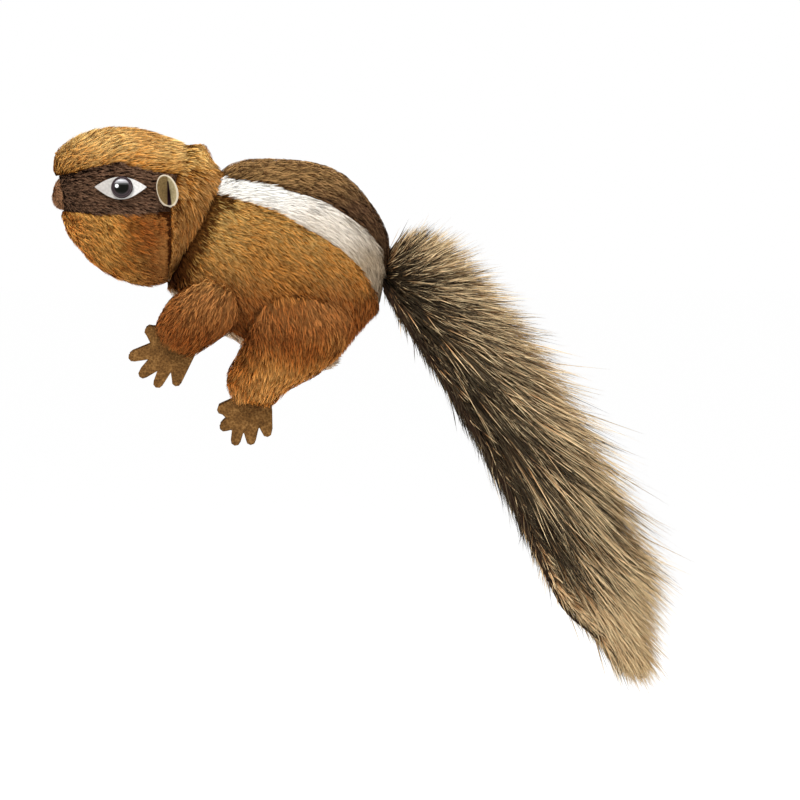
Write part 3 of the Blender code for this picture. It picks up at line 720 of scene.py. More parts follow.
# Painted shade darkens the nape's hair along the neck crease and faintly along the crown.
plush(
    "head_back", honey, down_nape, 27000, "golden_plush", HEAD_SPINE, HEAD_OUTSIDE, seed=2,
    crease=0.5, crease_width=0.004, edge=1.8, edge_width=0.0020, edge_mask=nape_seam_shade,
    trim=(lambda roots: (roots[:, 2] < 0.041) & (roots[:, 2] > 0.022), 0.0014),
    nap=nape_nap, over=over_nape,
)
for index, side in enumerate(("left", "right")):
    plush(
        "eye_stripe_" + side, umber, from_nose, 14000, "dark_plush", HEAD_SPINE, HEAD_OUTSIDE,
        length=0.0038, seed=3 + index, nap=stripe_nap, lift=0.3, crease=0.9, edge=0.0, width=0.0003,
        over=over_stripe, bright=0.8, trim=(lambda roots: roots[:, 0] > -0.060, 0.0004),
    )
    # Painted shade darkens the cheek's hair beside its rear seam.
    plush(
        "cheek_" + side, tan, from_nose, 31000, "cheek_plush", HEAD_SPINE, HEAD_OUTSIDE, seed=5 + index,
        crease=0.5, edge=2.6, edge_width=0.0011, edge_mask=lambda roots: roots[:, 0] > -0.058,
        trim=(lambda roots: roots[:, 0] > -0.062, 0.0001), nap=cheek_nap, over=over_cheek,
        light_roots=muzzle_roots,
    )


# Nose
# A small bump of shaved brown plush at the end of the muzzle.
russet = [
    backing_finish("Nose cloth", (80, 48, 30)),
    pile_finish("Nose pile", (104, 66, 44), (152, 106, 74), (190, 142, 104), patch=0.15),
]
NOSE_SPINE = (Vector((-0.0862, -0.001, 0.0422)), Vector((-0.0862, 0.001, 0.0422)))
plush(
    "nose", russet, lambda roots, normals: roots - NOSE_TIP, 2500, "nose_plush", NOSE_SPINE,
    hull({"nose": NOSE_SPINE}), length=0.0038, seed=9, nap=0.0002, facing=0.2, crease=1.0, lift=0.4,
    over=lambda tips: 0.0006, tuft=(3.0, 0.1, 0.0, 1.0), guard=0.0,
)


# Eyes
# A white almond of stiff felt lies on each eye stripe. On it stands a domed plastic eye, clear over
# a grey ring and a black pupil, whose stem goes through the felt to its washer. A reflection and a
# highlight are painted on the pupil.
def surface_tree(node_name, spine):
    """The outer faces of a CAD panel with its small holes filled, to find its surface along a ray."""
    shape = merged(node_name)
    outer = set(outer_faces(shape, spine, 0.45))
    bmesh.ops.delete(shape, geom=[f for f in shape.faces if f not in outer], context="FACES")
    bmesh.ops.holes_fill(shape, edges=shape.edges, sides=30)
    bmesh.ops.triangulate(shape, faces=shape.faces)
    shape.normal_update()
    tree = BVHTree.FromBMesh(shape)
    shape.free()
    return tree


def finish_mesh(shape, name, material, smooth_angle=40):
    """A bmesh made into a shown object with its material."""
    mesh = bpy.data.meshes.new(name)
    shape.to_mesh(mesh)
    shape.free()
    mesh.shade_smooth()
    mesh.set_sharp_from_angle(angle=math.radians(smooth_angle))
    mesh.materials.append(material)
    return shown(name, mesh)


def opposite(piece, name):
    """The right-hand copy of a left-hand piece, mirrored in its mesh."""
    mesh = piece.data.copy()
    mesh.transform(Matrix.Scale(-1, 4, (0, 1, 0)))
    mesh.flip_normals()
    return shown(name, mesh)


eye_felt = Finish("White felt", 0.65, Specular_IOR_Level=0.15)
felt_grain = eye_felt.noise(1500, 3.0)
felt_shade = eye_felt.ramp(felt_grain, (0.25, linear(176, 172, 170)), (0.7, linear(204, 201, 196)))
# Painted shade: the felt is darker towards the front corner of the almond and lighter towards its rear.
felt_painted_shade = eye_felt.ramp(
    (eye_felt.along(0) + 0.077) * 60.0,
    (0.1, (0.80, 0.77, 0.75)), (0.45, (0.92, 0.91, 0.89)), (0.7, (1.12, 1.13, 1.13)),
)
eye_felt.give("Base Color", eye_felt.mix(1.0, felt_shade, felt_painted_shade, "MULTIPLY"))
eye_felt.bump(felt_grain, 0.0001, 0.4)
EYE_CORNERS = (-0.0761, -0.0607)
EYE_LEVEL = 0.0447
EYE_RISE = 0.0030
EYE_DROP = 0.00365
FELT_RISE = 0.0006
FELT_THICK = 0.0006
head_side = surface_tree("eye_stripe_left", HEAD_SPINE)


def on_head(x, z):
    """A point of the felt, a little out from the left side of the head."""
    hit, _, _, _ = head_side.ray_cast(Vector((x, -0.06, z)), Vector((0, 1, 0)))
    return hit + Vector((0, -FELT_RISE, 0))


def cut_out(name, shape, rows, thickness, material, smooth_angle):
    """A cut-out of thick cloth from rows of points, of which the first and the last are one point."""
    for near, far in zip(rows, rows[1:]):
        for j in range(max(len(near), len(far)) - 1):
            if len(near) == 1:
                corners = near[0], far[j], far[j + 1]
            elif len(far) == 1:
                corners = near[j], far[0], near[j + 1]
            else:
                corners = near[j], far[j], far[j + 1], near[j + 1]
            shape.faces.new(corners)
    bmesh.ops.recalc_face_normals(shape, faces=shape.faces)
    if sum(f.normal.y for f in shape.faces) > 0:
        bmesh.ops.reverse_faces(shape, faces=shape.faces)
    bmesh.ops.solidify(shape, geom=list(shape.faces), thickness=thickness)
    bmesh.ops.recalc_face_normals(shape, faces=shape.faces)
    return finish_mesh(shape, name, material, smooth_angle)


def almond_felt(name):
    """The felt almond, laid on the head and given its thickness."""
    shape = bmesh.new()
    columns = []
    left, right = EYE_CORNERS
    along, up = 40, 12
    for i in range(along + 1):
        t = i / along
        bow = math.sin(math.pi * t) ** 0.95
        x = left + (right - left) * t
        top, low = EYE_LEVEL + EYE_RISE * bow, EYE_LEVEL - EYE_DROP * bow
        levels = [EYE_LEVEL] if i in (0, along) else [low + (top - low) * j / up for j in range(up + 1)]
        columns.append([shape.verts.new(on_head(x, z)) for z in levels])
    return cut_out(name, shape, columns, -FELT_THICK, eye_felt.material, 60)


def eye_frame():
    """The middle and the outward axis of the left eye, from the CAD piece's turned form."""
    shape = merged("eye_left")
    points = np.array([v.co for v in shape.verts])
    shape.free()
    middle = points.mean(0)
    values, ways = np.linalg.eigh(np.cov((points - middle).T))
    axis = ways[:, 2] if values[1] - values[0] < values[2] - values[1] else ways[:, 0]
    if axis[1] > 0:
        axis = -axis
    level = (points - middle) @ axis
    radius = np.linalg.norm((points - middle) - level[:, None] * axis, axis=1)
    wide = level[radius > 0.95 * radius.max()].min()
    return Vector(middle + axis * wide), Vector(axis), float(radius.max()), float(level.max() - wide)


eye_seat, eye_axis, eye_radius, eye_height = eye_frame()
eye_place = Matrix.Translation(eye_seat + Vector((0.0005, 0, 0)))
EYE_TURN = eye_place @ eye_axis.to_track_quat("Z", "Y").to_matrix().to_4x4()


def spun(profile, steps):
    """A bmesh turned about Z from a profile of (radius, height) that ends on the axis."""
    shape = bmesh.new()
    verts = [shape.verts.new((radius, 0, height)) for radius, height in profile]
    edges = [shape.edges.new(pair) for pair in zip(verts, verts[1:])]
    bmesh.ops.spin(
        shape, geom=verts + edges, axis=(0, 0, 1), cent=(0, 0, 0), angle=math.tau, steps=steps,
        use_merge=True,
    )
    bmesh.ops.remove_doubles(shape, verts=shape.verts, dist=1e-6)
    bmesh.ops.recalc_face_normals(shape, faces=shape.faces)
    return shape


eye_plastic = Finish("Painted eye", 0.12, Specular_IOR_Level=0.1, Coat_Weight=0.15, Coat_Roughness=0.03)
ring, level = eye_plastic.attribute("ring"), eye_plastic.attribute("level")
rings = eye_plastic.ramp(
    ring,
    (0.0, linear(7, 7, 3)),
    (0.60, linear(9, 9, 5)),
    (0.66, linear(42, 34, 35)),
    (0.75, linear(56, 45, 48)),
    (0.80, linear(26, 19, 22)),
    (0.85, linear(44, 34, 38)),
    (0.89, linear(68, 56, 57)),
    (0.94, linear(60, 48, 50)),
    (0.97, linear(24, 16, 20)),
)
# Painted reflection: a pale grey crescent over the upper part of the pupil, kept within the pupil.
painted_sky_reflection = eye_plastic.ramp(
    level, (0.61, (0, 0, 0)), (0.69, (0.06, 0.06, 0.06)), (0.73, (0.26, 0.25, 0.26)),
    (0.83, (0.44, 0.43, 0.45)), (0.88, (0.12, 0.12, 0.12)),
)
within = eye_plastic.ramp(ring, (0.70, (1, 1, 1)), (0.78, (0, 0, 0)))
painted_reflections = eye_plastic.mix(1.0, painted_sky_reflection, within, "MULTIPLY")
# Painted highlight: a small white dot at the upper left of the pupil.
painted_highlight = eye_plastic.ramp(eye_plastic.attribute("spark"), (0.55, (1, 1, 1)), (0.95, (0, 0, 0)))
painted_reflections = eye_plastic.mix(1.0, painted_reflections, painted_highlight, "SCREEN")
eye_plastic.give("Base Color", eye_plastic.mix(1.0, rings, painted_reflections, "SCREEN"))
# Where the painted highlight sits, left of and above the eye's middle, and how wide it is.
HIGHLIGHT_LEFT, HIGHLIGHT_UP, HIGHLIGHT_WIDTH = 0.0011, 0.0005, 0.0007


def eyeball(name):
    """The domed eye, with its rings, its height for the painted reflection and the place of its painted
    highlight in attributes.
    """
    rim = eye_height * 0.28
    profile = [(0.0, 0.0), (eye_radius * 0.96, 0.0), (eye_radius, rim * 0.4), (eye_radius, rim)] + [
        (eye_radius * math.cos(a), rim + (eye_height - rim) * math.sin(a))
        for a in (math.radians(4 + i * 86 / 28) for i in range(29))
    ]
    profile[-1] = (0.0, eye_height)
    shape = spun(profile, 72)
    rings_of, level_of, highlight_spot_of = (shape.verts.layers.float.new(key) for key in ("ring", "level", "spark"))
    for vert in shape.verts:
        vert[rings_of] = math.hypot(vert.co.x, vert.co.y) / eye_radius
    shape.transform(EYE_TURN)
    for vert in shape.verts:
        vert[level_of] = 0.5 + (vert.co.z - eye_seat.z) / (2 * eye_radius)
        apart = math.hypot(vert.co.x - eye_seat.x + HIGHLIGHT_LEFT, vert.co.z - eye_seat.z - HIGHLIGHT_UP)
        vert[highlight_spot_of] = apart / HIGHLIGHT_WIDTH
    return finish_mesh(shape, name, eye_plastic.material, 50)


for side in ("left", "right"):
    if side == "left":
        felt, ball = almond_felt("eye_felt_left"), eyeball("eye_dome_left")
    else:
        felt, ball = opposite(felt, "eye_felt_right"), opposite(ball, "eye_dome_right")
    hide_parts("eye_white_" + side)
    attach(felt, "root")
    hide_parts("eye_" + side)
    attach(ball, "root")


# Ears
# Each ear is one disc of suede cloth, cream inside, folded lengthwise and sewn into the seam behind
# the cheek by its fold. It opens outwards and its cut edge shows pale. Its front half is painted in shade
# and its rear half lit, and the fold is a slit painted dark with shadow.
EAR_MIDDLE = (-0.0547, 0.0437)
EAR_HALF = (0.0030, 0.00475)
EAR_LEAN = 0.0008
EAR_SLIT = ((-0.0544, 0.0468), (-0.0538, 0.0384))
EAR_STANDS = 0.0036
EAR_THICK = 0.0006
ear_suede = Finish("Ear suede", 0.85, Specular_IOR_Level=0.1)
nap = ear_suede.noise(1800, 4.0)
slit, brim, lobe = (ear_suede.attribute(key) for key in ("slit", "brim", "lobe"))
# Painted light: the front half of the inside in shade, darker and browner, the rear half lit and paler.
painted_shade_front_lobe = ear_suede.ramp(nap, (0.3, linear(90, 72, 43)), (0.7, linear(120, 98, 62)))
painted_light_rear_lobe = ear_suede.ramp(nap, (0.3, linear(134, 120, 86)), (0.7, linear(172, 157, 120)))
inside = ear_suede.mix(lobe, painted_shade_front_lobe, painted_light_rear_lobe)
# Painted shadow in the fold: a dark slit that widens towards the foot of the ear.
painted_slit_shadow = ear_suede.ramp(slit, (0.30, (1, 1, 1)), (0.60, (0, 0, 0)))
inside = ear_suede.mix(painted_slit_shadow, inside, (*linear(30, 12, 18), 1.0))
pale_brim = ear_suede.ramp(brim, (0.90, (0, 0, 0)), (0.97, (0.6, 0.6, 0.6)))
inside = ear_suede.mix(pale_brim, inside, (*linear(232, 220, 198), 1.0))
ear_suede.give("Base Color", inside)
ear_suede.bump(nap, 0.00012, 0.5)


def ear_foot(z):
    """How far out the fold of the ear lies: on the seam of the head."""
    return -0.0214 + 2.0 * (z - 0.043) ** 2


def ear_disc(name):
    """The folded disc: a soft bend at its top that closes to a sharp fold at its foot."""
    shape = bmesh.new()
    layers = {key: shape.verts.layers.float.new(key) for key in ("slit", "brim", "lobe")}
    across, down = 44, 26
    (x_top, z_top), (x_low, z_low) = EAR_SLIT

    def vertex(u, v):
        chord = math.sqrt(max(0.0, 1 - v * v))
        x = EAR_MIDDLE[0] - EAR_LEAN * v + EAR_HALF[0] * chord * u
        z = EAR_MIDDLE[1] + EAR_HALF[1] * v
        t = (z_top - z) / (z_top - z_low)
        fold_x = x_top + (x_low - x_top) * t
        apart = abs(x - fold_x)
        fold_depth = max(0.0, min(1.0, 0.25 + 1.6 * t))
        flare = min(1.0, apart / (EAR_HALF[0] * 0.9)) ** 0.8
        stand = EAR_STANDS * (1 - fold_depth * (1 - flare) * max(chord, 0.35))
        vert = shape.verts.new((x, ear_foot(z) - stand - 0.0008 * v, z))
        reach = 0.0002 + 0.00065 * max(0.0, min(1.0, t))
        vert[layers["slit"]] = apart / reach * 0.5 if t > 0 else 1.0
        vert[layers["brim"]] = math.hypot(v, chord * u)
        vert[layers["lobe"]] = 1.0 if x > fold_x else 0.0
        return vert

    rows = []
    for i in range(down + 1):
        v = math.cos(math.pi * i / down)
        if i in (0, down):
            rows.append([vertex(0.0, v)])
        else:
            rows.append([vertex(-1 + 2 * j / across, v) for j in range(across + 1)])
    return cut_out(name, shape, rows, EAR_THICK, ear_suede.material, 50)


for side in ("left", "right"):
    ear = ear_disc("ear_left") if side == "left" else opposite(ear, "ear_right")
    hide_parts("ear_back_" + side, "ear_lining_" + side)
    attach(ear, "root")


# Body
# A brown back stripe, a white stripe on each side, golden flanks and a cream belly panel, all short
# plush over stuffing. The pile runs from the neck to the rump and turns down over the thighs.
BODY_SPINE = (Vector((-0.038, 0, 0.028)), Vector((-0.008, 0, 0.019)))
BODY_PANELS = ["back_stripe", "belly"] + [
    panel + side for panel in ("white_stripe_", "flank_") for side in ("left", "right")
]
BODY_OUTSIDE = hull({name: BODY_SPINE for name in BODY_PANELS})


def along_back(roots, normals):
    """Along the stripes: level at the neck and steeper towards the rump."""
    dip = np.radians(4 + 68 * between(roots[:, 0], -0.040, 0.012) ** 1.7)
    return np.stack([np.cos(dip), np.zeros(len(roots)), -np.sin(dip)], 1)


def down_flank(roots, normals):
    """Back and down over the flank, steeper low down."""
    x, _, z = roots.T
    dip = np.radians(26 + 44 * between(z, 0.034, -0.002) + 10 * between(x, -0.030, 0.015))
    return np.stack([np.cos(dip), np.zeros(len(roots)), -np.sin(dip)], 1)


def over_back(tips):
    """The back is sleek, but its fur stands up against the nape."""
    return -0.0003 + 0.0016 * between(tips[:, 0], -0.034, -0.038)


def shoulder(roots):
    """Painted shade at the flank's seams, where the flank meets the neck above the front leg."""
    return (roots[:, 0] < -0.036) & (roots[:, 2] > 0.016)


chestnut = [
    backing_finish("Back stripe cloth", (54, 36, 24)),
    pile_finish(
        "Back stripe pile", (34, 20, 12), (98, 70, 46), (154, 120, 80), patch=0.46,
        fall=((0.022, (0.44, 0.42, 0.48)), (0.038, (0.62, 0.58, 0.66)), (0.048, (1.52, 1.55, 1.36))),
    ),
]
fawn = [
    backing_finish("Flank plush cloth", (92, 54, 22)),
    pile_finish(
        "Flank pile", (70, 36, 12), (156, 106, 48), (222, 174, 106), rust=(0.84, 0.64, 0.50), rusty=0.54,
        fall=((-0.024, (1.22, 1.14, 1.05)), (-0.012, (0.80, 0.64, 0.50)), (-0.001, (0.47, 0.31, 0.25)),
              (0.010, (0.54, 0.41, 0.37)), (0.022, (0.86, 0.88, 0.80)), (0.036, (1.03, 1.20, 1.18))),
    ),
]
# The white stripes' fall is painted shade: darker and yellower low down, white at the top.
white = [
    backing_finish("White plush cloth", (232, 226, 216)),
    pile_finish(
        "White pile", (226, 219, 208), (246, 243, 238), (253, 252, 250), patch=0.05,
        fall=((0.006, (0.40, 0.31, 0.22)), (0.022, (0.47, 0.37, 0.26)), (0.034, (0.85, 0.78, 0.69)),
              (0.044, (1.0, 1.0, 0.98))),
    ),
]
cream = [
    backing_finish("Cream plush cloth", (130, 100, 74)),
    pile_finish("Cream pile", (160, 126, 94), (206, 174, 138), (232, 208, 176)),
]
plush(
    "back_stripe", chestnut, along_back, 36000, "back_plush", BODY_SPINE, BODY_OUTSIDE, seed=11,
    width=0.00028, edge=0.5, swirl=0.15, tuft=(3.6, 0.5, 0.05, 4.0), over=over_back,
)
plush("belly", cream, along_back, 7000, "cream_plush", BODY_SPINE, BODY_OUTSIDE, seed=12)
for index, side in enumerate(("left", "right")):
    plush(
        "white_stripe_" + side, white, along_back, 16000, "white_plush", BODY_SPINE, BODY_OUTSIDE,
        seed=13 + index, length=0.0042, lift=0.34, crease=0.9, swirl=0.12, stray=0.08,
        tuft=(3.0, 0.2, 0.03, 3.0), edge=0.0, over=lambda tips: 0.0001,
    )
    legs = [solid_tree(limb + side) for limb in ("front_leg_", "hind_leg_")]
    # Painted shade darkens the flank's hair where it meets the neck.
    plush(
        "flank_" + side, fawn, down_flank, 58000, "golden_plush", BODY_SPINE, BODY_OUTSIDE,
        seed=15 + index, edge=2.3, edge_width=0.0042, edge_mask=shoulder, solids=legs,
    )


# Legs
# Four stuffed tubes of the same golden plush, sewn under the shoulders and on the haunches.
def spine_of(node_name, stretch=1.0):
    """A spine inside a leg, from its CAD box."""
    low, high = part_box(node_name)
    low, high = Vector(low), Vector(high)
    middle = (low + high) / 2
    reach = Vector(((high.x - low.x) * -0.22, 0, (high.z - low.z) * -0.30)) * stretch
    return middle - reach * 0.6, middle + reach


def down_front_leg(roots, normals):
    """Down and forwards to the wrist, turning outwards at the front."""
    return np.array((-0.55, 0.0, -0.83)) + normals * 0.3


def down_hind_leg(roots, normals):
    """Down the thigh to the ankle."""
    low = between(roots[:, 2], 0.004, -0.016)
    return np.stack([0.30 - 0.75 * low, np.zeros(len(roots)), -np.ones(len(roots))], 1)


def leg_top(node_name):
    """Where the leg comes out of the flank and its roots show, so their painted shade is lifted."""
    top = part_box(node_name)[1][2]
    return lambda roots: between(roots[:, 2], top - 0.016, top - 0.008)


for index, side in enumerate(("left", "right")):
    for limb, comb, count, seed in (
        ("front_leg_", down_front_leg, 19000, 21), ("hind_leg_", down_hind_leg, 29000, 23)
    ):
        name = limb + side
        plush(
            name, fawn, comb, count, "golden_plush", spine_of(name), hull({name: spine_of(name, 1.8)}),
            length=0.0064, seed=seed + index, facing=0.2, crease=1.0, edge=0.0, swirl=0.5, lift=0.6,
            light_roots=leg_top(name), over=lambda tips: 0.0006,
        )


# Paws
# Flat hands and feet cut from two layers of brown suede, five digits each, sewn round their edge and
# slipped into the end of the leg.
suede = Finish("Brown suede", 0.9, Specular_IOR_Level=0.1)
scuff = suede.noise(420, 5.0)
stipple = suede.node(
    "ShaderNodeTexVoronoi", {"feature": "F1"}, {"Vector": suede.place(), "Scale": 1500.0}
)
suede.give(
    "Base Color",
    suede.ramp(
        scuff * 0.65 + stipple * 0.5,
        (0.25, linear(66, 42, 18)), (0.6, linear(102, 70, 34)), (0.95, linear(144, 106, 60)),
    ),
)
suede.bump(scuff * 0.5 + stipple, 0.00035, 0.7)


def paw_piece(node_name, name):
    """The CAD paw with rounded edges."""
    shape = merged(node_name)
    bmesh.ops.dissolve_limit(shape, angle_limit=math.radians(2), verts=shape.verts, edges=shape.edges)
    rim = [e for e in shape.edges if len(e.link_faces) == 2 and e.calc_face_angle() > math.radians(50)]
    bmesh.ops.bevel(
        shape, geom=rim, offset=0.00045, offset_type="OFFSET", segments=3, profile=0.5,
        affect="EDGES", material=-1, clamp_overlap=True,
    )
    return finish_mesh(shape, name, suede.material, 35)


for limb in ("front_paw_", "hind_paw_"):
    for side in ("left", "right"):
        paw = paw_piece(limb + side, limb + side + "_suede")
        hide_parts(limb + side)
        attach(paw, "root")


# Tail
# A strip of dark knitted cloth carries long straight hair all round a soft core: dark at the root,
# pale at the tip, swept down and outwards, and thin at the end of the tail.
TAIL_ROWS = (
    (0.0090, 0.0150, 0.0114, 0.0315, 0.0065),
    (0.0160, 0.0040, 0.0289, 0.0292, 0.0113),
    (0.0270, -0.0130, 0.0482, 0.0095, 0.0136),
    (0.0385, -0.0322, 0.0661, -0.0155, 0.0144),
    (0.0493, -0.0523, 0.0812, -0.0442, 0.0141),
    (0.0596, -0.0743, 0.0917, -0.0731, 0.0117),
    (0.0760, -0.0925, 0.0907, -0.0994, 0.0048),
)
CORE_SHARE = 0.48
BACKING = 0.0019
ROOTS_END = 0.93
HAIR_WIDTH = 0.00023
HAIR_REACH = 1.11
LOWEST_HAIR = -0.1050
FURTHEST_HAIR = 0.1010


def tail_row(share):
    """The tail's section at a share of its length, from 0 at the rump to 1 at the tip."""
    rows = np.array(TAIL_ROWS)
    rows = np.vstack([2 * rows[0] - rows[1], rows, 2 * rows[-1] - rows[-2]])
    place = np.clip(share, 0, 1.06) * (len(TAIL_ROWS) - 1)
    first = np.minimum(place.astype(int), len(TAIL_ROWS) - 2)
    t = (place - first)[:, None]
    a, b, c, d = (rows[first + k] for k in range(4))
    return 0.5 * (
        2 * b + (c - a) * t + (2 * a - 5 * b + 4 * c - d) * t**2 + (3 * b - a - 3 * c + d) * t**3
    )


def tail_core(share, turn, reach=CORE_SHARE):
    """Points and outward directions on the core, at an angle from the crest."""
    row = tail_row(share)
    base = np.stack([row[:, 0], np.zeros(len(row)), row[:, 1]], 1)
    rise = np.stack([row[:, 2], np.zeros(len(row)), row[:, 3]], 1) - base
    height = np.linalg.norm(rise, axis=1, keepdims=True)
    up = rise / height
    side = np.zeros_like(up)
    side[:, 1] = 1
    c, s = np.cos(turn)[:, None], np.sin(turn)[:, None]
    wide = row[:, 4:5] * reach
    tall = (height - BACKING) * reach
    middle = base + up * (BACKING + tall * 0.45)
    points = middle + up * c * tall * 0.55 + side * s * wide
    outward_way = unit(up * c / np.maximum(tall * 0.55, 1e-4) + side * s / np.maximum(wide, 1e-4))
    return points, outward_way


def tail_skin():
    """The core as a closed mesh."""
    rings, around = 40, 24
    share = np.repeat(np.linspace(0, 1, rings), around)
    turn = np.tile(np.linspace(0, math.tau, around, endpoint=False), rings)
    points, _ = tail_core(share, turn)
    shape = bmesh.new()
    verts = [shape.verts.new(p) for p in points]
    for here in range(0, (rings - 1) * around, around):
        ahead = here + around
        for j in range(around):
            k = (j + 1) % around
            shape.faces.new([verts[n] for n in (here + j, here + k, ahead + k, ahead + j)])
    for first in (0, (rings - 1) * around):
        shape.faces.new(verts[first : first + around])
    bmesh.ops.recalc_face_normals(shape, faces=shape.faces)
    bmesh.ops.triangulate(shape, faces=shape.faces)
    shape.verts.index_update()
    verts = np.array([v.co for v in shape.verts])
    faces = np.array([[v.index for v in f.verts] for f in shape.faces])
    shape.free()
    return verts, faces


def backing_edge(share, side, random):
    """Roots along one edge of the backing, with ways down the tail and out over the edge."""
    here, ahead = tail_row(share), tail_row(share + 0.02)
    count = len(share)
    up = unit(np.stack([here[:, 2] - here[:, 0], np.zeros(count), here[:, 3] - here[:, 1]], 1))
    down = unit(np.stack([ahead[:, 0] - here[:, 0], np.zeros(count), ahead[:, 1] - here[:, 1]], 1))
    roots = np.stack([here[:, 0], np.zeros(count), here[:, 1]], 1)
    roots += up * (BACKING * random.uniform(0.4, 1.6, count))[:, None]
    roots[:, 1] = side * np.minimum(0.0096, here[:, 4] - 0.0012) * random.uniform(0.8, 1.03, count)
    out = np.zeros((count, 3))
    out[:, 1] = side * random.uniform(-0.15, 0.35, count)
    return roots, unit(down + up * random.normal(-0.02, 0.16, count)[:, None] + out)


def tail_hair(name, count, seed, side, materials, with_skin):
    """Hair on one side of the tail, each strand aimed at the outside of the brush further down."""
    random = np.random.default_rng(seed)
    share = ROOTS_END * random.random(count) ** 0.9
    turn = side * math.radians(172) * random.random(count) ** 0.85
    last = random.random(count) < 0.07
    share[last] = random.uniform(0.78, 1.0, last.sum())
    turn[last] = side * random.uniform(math.radians(100), math.pi, last.sum())
    roots, normals = tail_core(share, turn)
    crest = (1 + np.cos(turn)) / 2
    sweep = 0.07 + 0.12 * between(share, 0, 0.5) - 0.22 * np.clip(share - 0.62, 0, 1)
    ends, _ = tail_core(
        share + sweep + random.normal(0, 0.02, count), turn + random.normal(0, 0.15, count), HAIR_REACH
    )
    spans = ends - roots
    reach = np.linalg.norm(spans, axis=1)
    fringe = random.random(count) < 0.13
    fringe_roots, fringe_ways = backing_edge(share, side, random)
    roots[fringe] = fringe_roots[fringe]
    spans[fringe] = fringe_ways[fringe]
    reach[fringe] = random.uniform(0.006, 0.011, fringe.sum())
    crest[fringe] = 0.25
    swirl = waves(roots, 60.0, seed) * 0.14 + random.normal(0, 0.10, (count, 3))
    way = unit(unit(spans) + swirl)
    lengths = reach * np.clip(random.normal(0.92, 0.08, count), 0.5, 1.1)
    lengths *= np.where(random.random(count) < 0.03, 1.08, 1.0) * (0.55 + 0.45 * between(crest, 0, 0.4))
    for axis, end in ((2, LOWEST_HAIR), (0, FURTHEST_HAIR)):
        limit = end * (1 - 0.05 * random.random(count))
        room = (limit - roots[:, axis]) / np.where(np.abs(way[:, axis]) < 1e-3, 1e-3, way[:, axis])
        lengths = np.where(room > 0, np.minimum(lengths, room), lengths)
    across = flowing(normals, way)
    hair = strands(
        roots, across, way, lengths, np.full(count, HAIR_WIDTH) * random.uniform(0.7, 1.3, count),
        -0.10, random, steps=3, tuft=(1600, 0.22, 0.05, 1.0), curl=0.0, taper=7.0,
    )
    # Pale hairs are many on the crest and few on the underside, the fringe and near the rump: the underside
    # is partly dark underfur and partly painted shade.
    paleness = (0.05 + 0.85 * crest**2.4) * between(share, -0.12, 0.08)
    pale = random.random(count) < paleness + 0.7 * between(share, 0.64, 0.84)
    shade = np.where(pale, random.uniform(0.65, 1.0, count), random.uniform(0.0, 0.12, count))
    hair["tone"] = shade.repeat(len(hair["tone"]) // count)
    verts, faces = tail_skin() if with_skin else (np.zeros((0, 3)), np.zeros((0, 3), int))
    made = plush_piece(name, verts, faces, hair, materials)
    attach(made, "root")
    return made


def brush_finish(name):
    """Long hair of two kinds: dark all along, and dark at the root but pale at the tip."""
    made = Finish(name, 0.7, Specular_IOR_Level=0.1)
    along, tone = made.attribute("pile"), made.attribute("tone")
    dark = made.ramp(along, (0.1, linear(11, 7, 4)), (0.95, linear(25, 16, 10)))
    pale = made.ramp(
        along, (0.05, linear(66, 44, 26)), (0.40, linear(208, 156, 104)), (0.85, linear(255, 228, 178)),
        (1.0, linear(168, 130, 90)),
    )
    made.give("Base Color", made.mix(tone, dark, pale))
    return made.material


brush = [
    backing_finish("Tail core cloth", (30, 21, 15)),
    brush_finish("Tail hair"),
]
near_side = tail_hair("tail_hair_left", 24000, 31, -1, brush, True)
tail_hair("tail_hair_right", 20000, 32, 1, brush, False)
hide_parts("tail_pile")
tail_cloth = cloth("Tail backing cloth", (28, 18, 12), (50, 35, 24), 1300, 1.0, 0.0003)
strip = wear("tail_backing", tail_cloth)


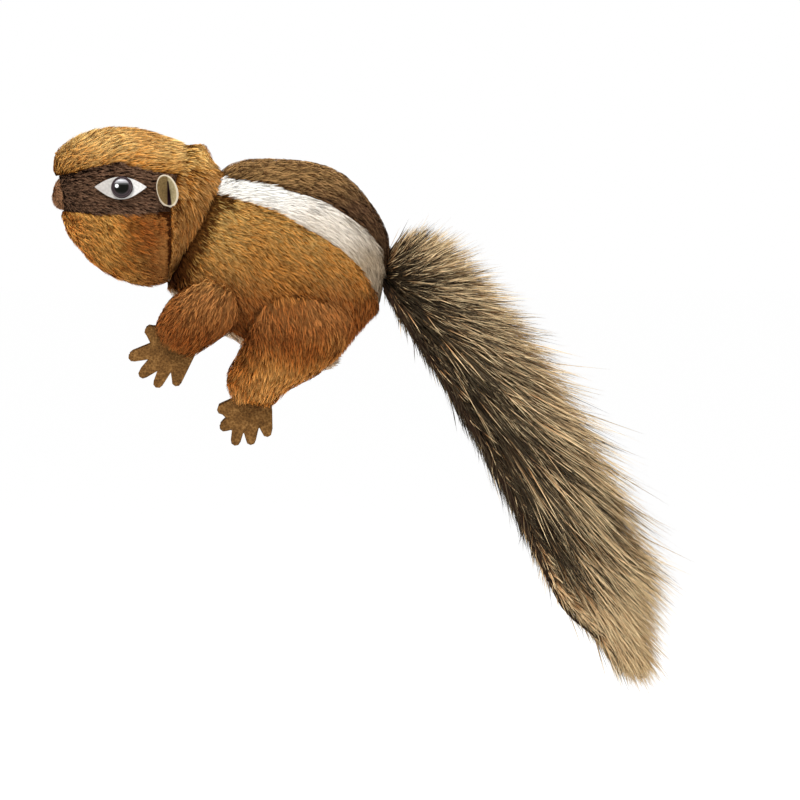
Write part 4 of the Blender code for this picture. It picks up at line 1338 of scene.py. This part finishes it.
# Ground, light and camera
# A plain pale floor that keeps a soft shadow, a white backdrop, soft lamps, and a long lens at the
# photograph's angle: square to the puppet's left side and a little above it.
FLOOR_LEVEL = -0.114
ground = Finish("Pale floor", 1.0, Base_Color=(0.9, 0.9, 0.9, 1), Specular_IOR_Level=0.0)
lit = Value(ground, ground.shader.outputs["BSDF"])
seen = ground.node("ShaderNodeLightPath", output="Is Camera Ray") * 0.80
white_light = ground.node("ShaderNodeEmission", {}, {"Strength": 1.12})
blend = ground.node("ShaderNodeMixShader", {}, {0: seen, 1: lit, 2: white_light})
ground.links.new(blend.socket, ground.nodes["Material Output"].inputs["Surface"])
shape = bmesh.new()
bmesh.ops.create_grid(shape, x_segments=1, y_segments=1, size=6.0)
bmesh.ops.translate(shape, vec=(0, 0, FLOOR_LEVEL), verts=shape.verts)
floor = finish_mesh(shape, "floor", ground.material)

world = bpy.data.worlds.new("Studio")
bpy.context.scene.world = world
world.use_nodes = True
studio = Tree(world.node_tree)
background = studio.nodes["Background"]
background.inputs["Color"].default_value = (1, 1, 1, 1)
strength = studio.node("ShaderNodeLightPath", output="Is Camera Ray") * 0.45 + 0.55
studio.links.new(strength.socket, background.inputs["Strength"])


def lamp(name, place, target, size, power):
    """A soft square lamp that points at a target."""
    light = bpy.data.lights.new(name, "AREA")
    light.shape = "SQUARE"
    light.size = size
    light.energy = power
    made = shown(name, light)
    made.location = place
    made.rotation_euler = (Vector(target) - Vector(place)).to_track_quat("-Z", "Y").to_euler()


MIDDLE = (0.0, 0.0, -0.01)
lamp("key_light", (-0.35, -0.55, 0.80), MIDDLE, 0.35, 9.0)
lamp("fill_light", (0.60, -0.70, 0.25), MIDDLE, 0.60, 3.5)
lamp("back_light", (0.10, 0.75, 0.60), MIDDLE, 0.50, 4.0)

VIEW_CENTRE = Vector((0.0150, 0.0, -0.0195))
VIEW_WIDTH = 0.240
LENS = 1000.0
SENSOR = 36.0
ELEVATION = math.radians(1.5)
reach = VIEW_WIDTH * LENS / SENSOR
camera = bpy.data.cameras.new("camera")
camera.lens = LENS
camera.sensor_width = SENSOR
camera.clip_end = 20.0
eye = shown("camera", camera)
eye.location = VIEW_CENTRE + Vector((0, -math.cos(ELEVATION), math.sin(ELEVATION))) * reach
eye.rotation_euler = (math.pi / 2 - ELEVATION, 0, 0)
bpy.context.scene.camera = eye
bpy.context.scene.view_settings.view_transform = "Standard"
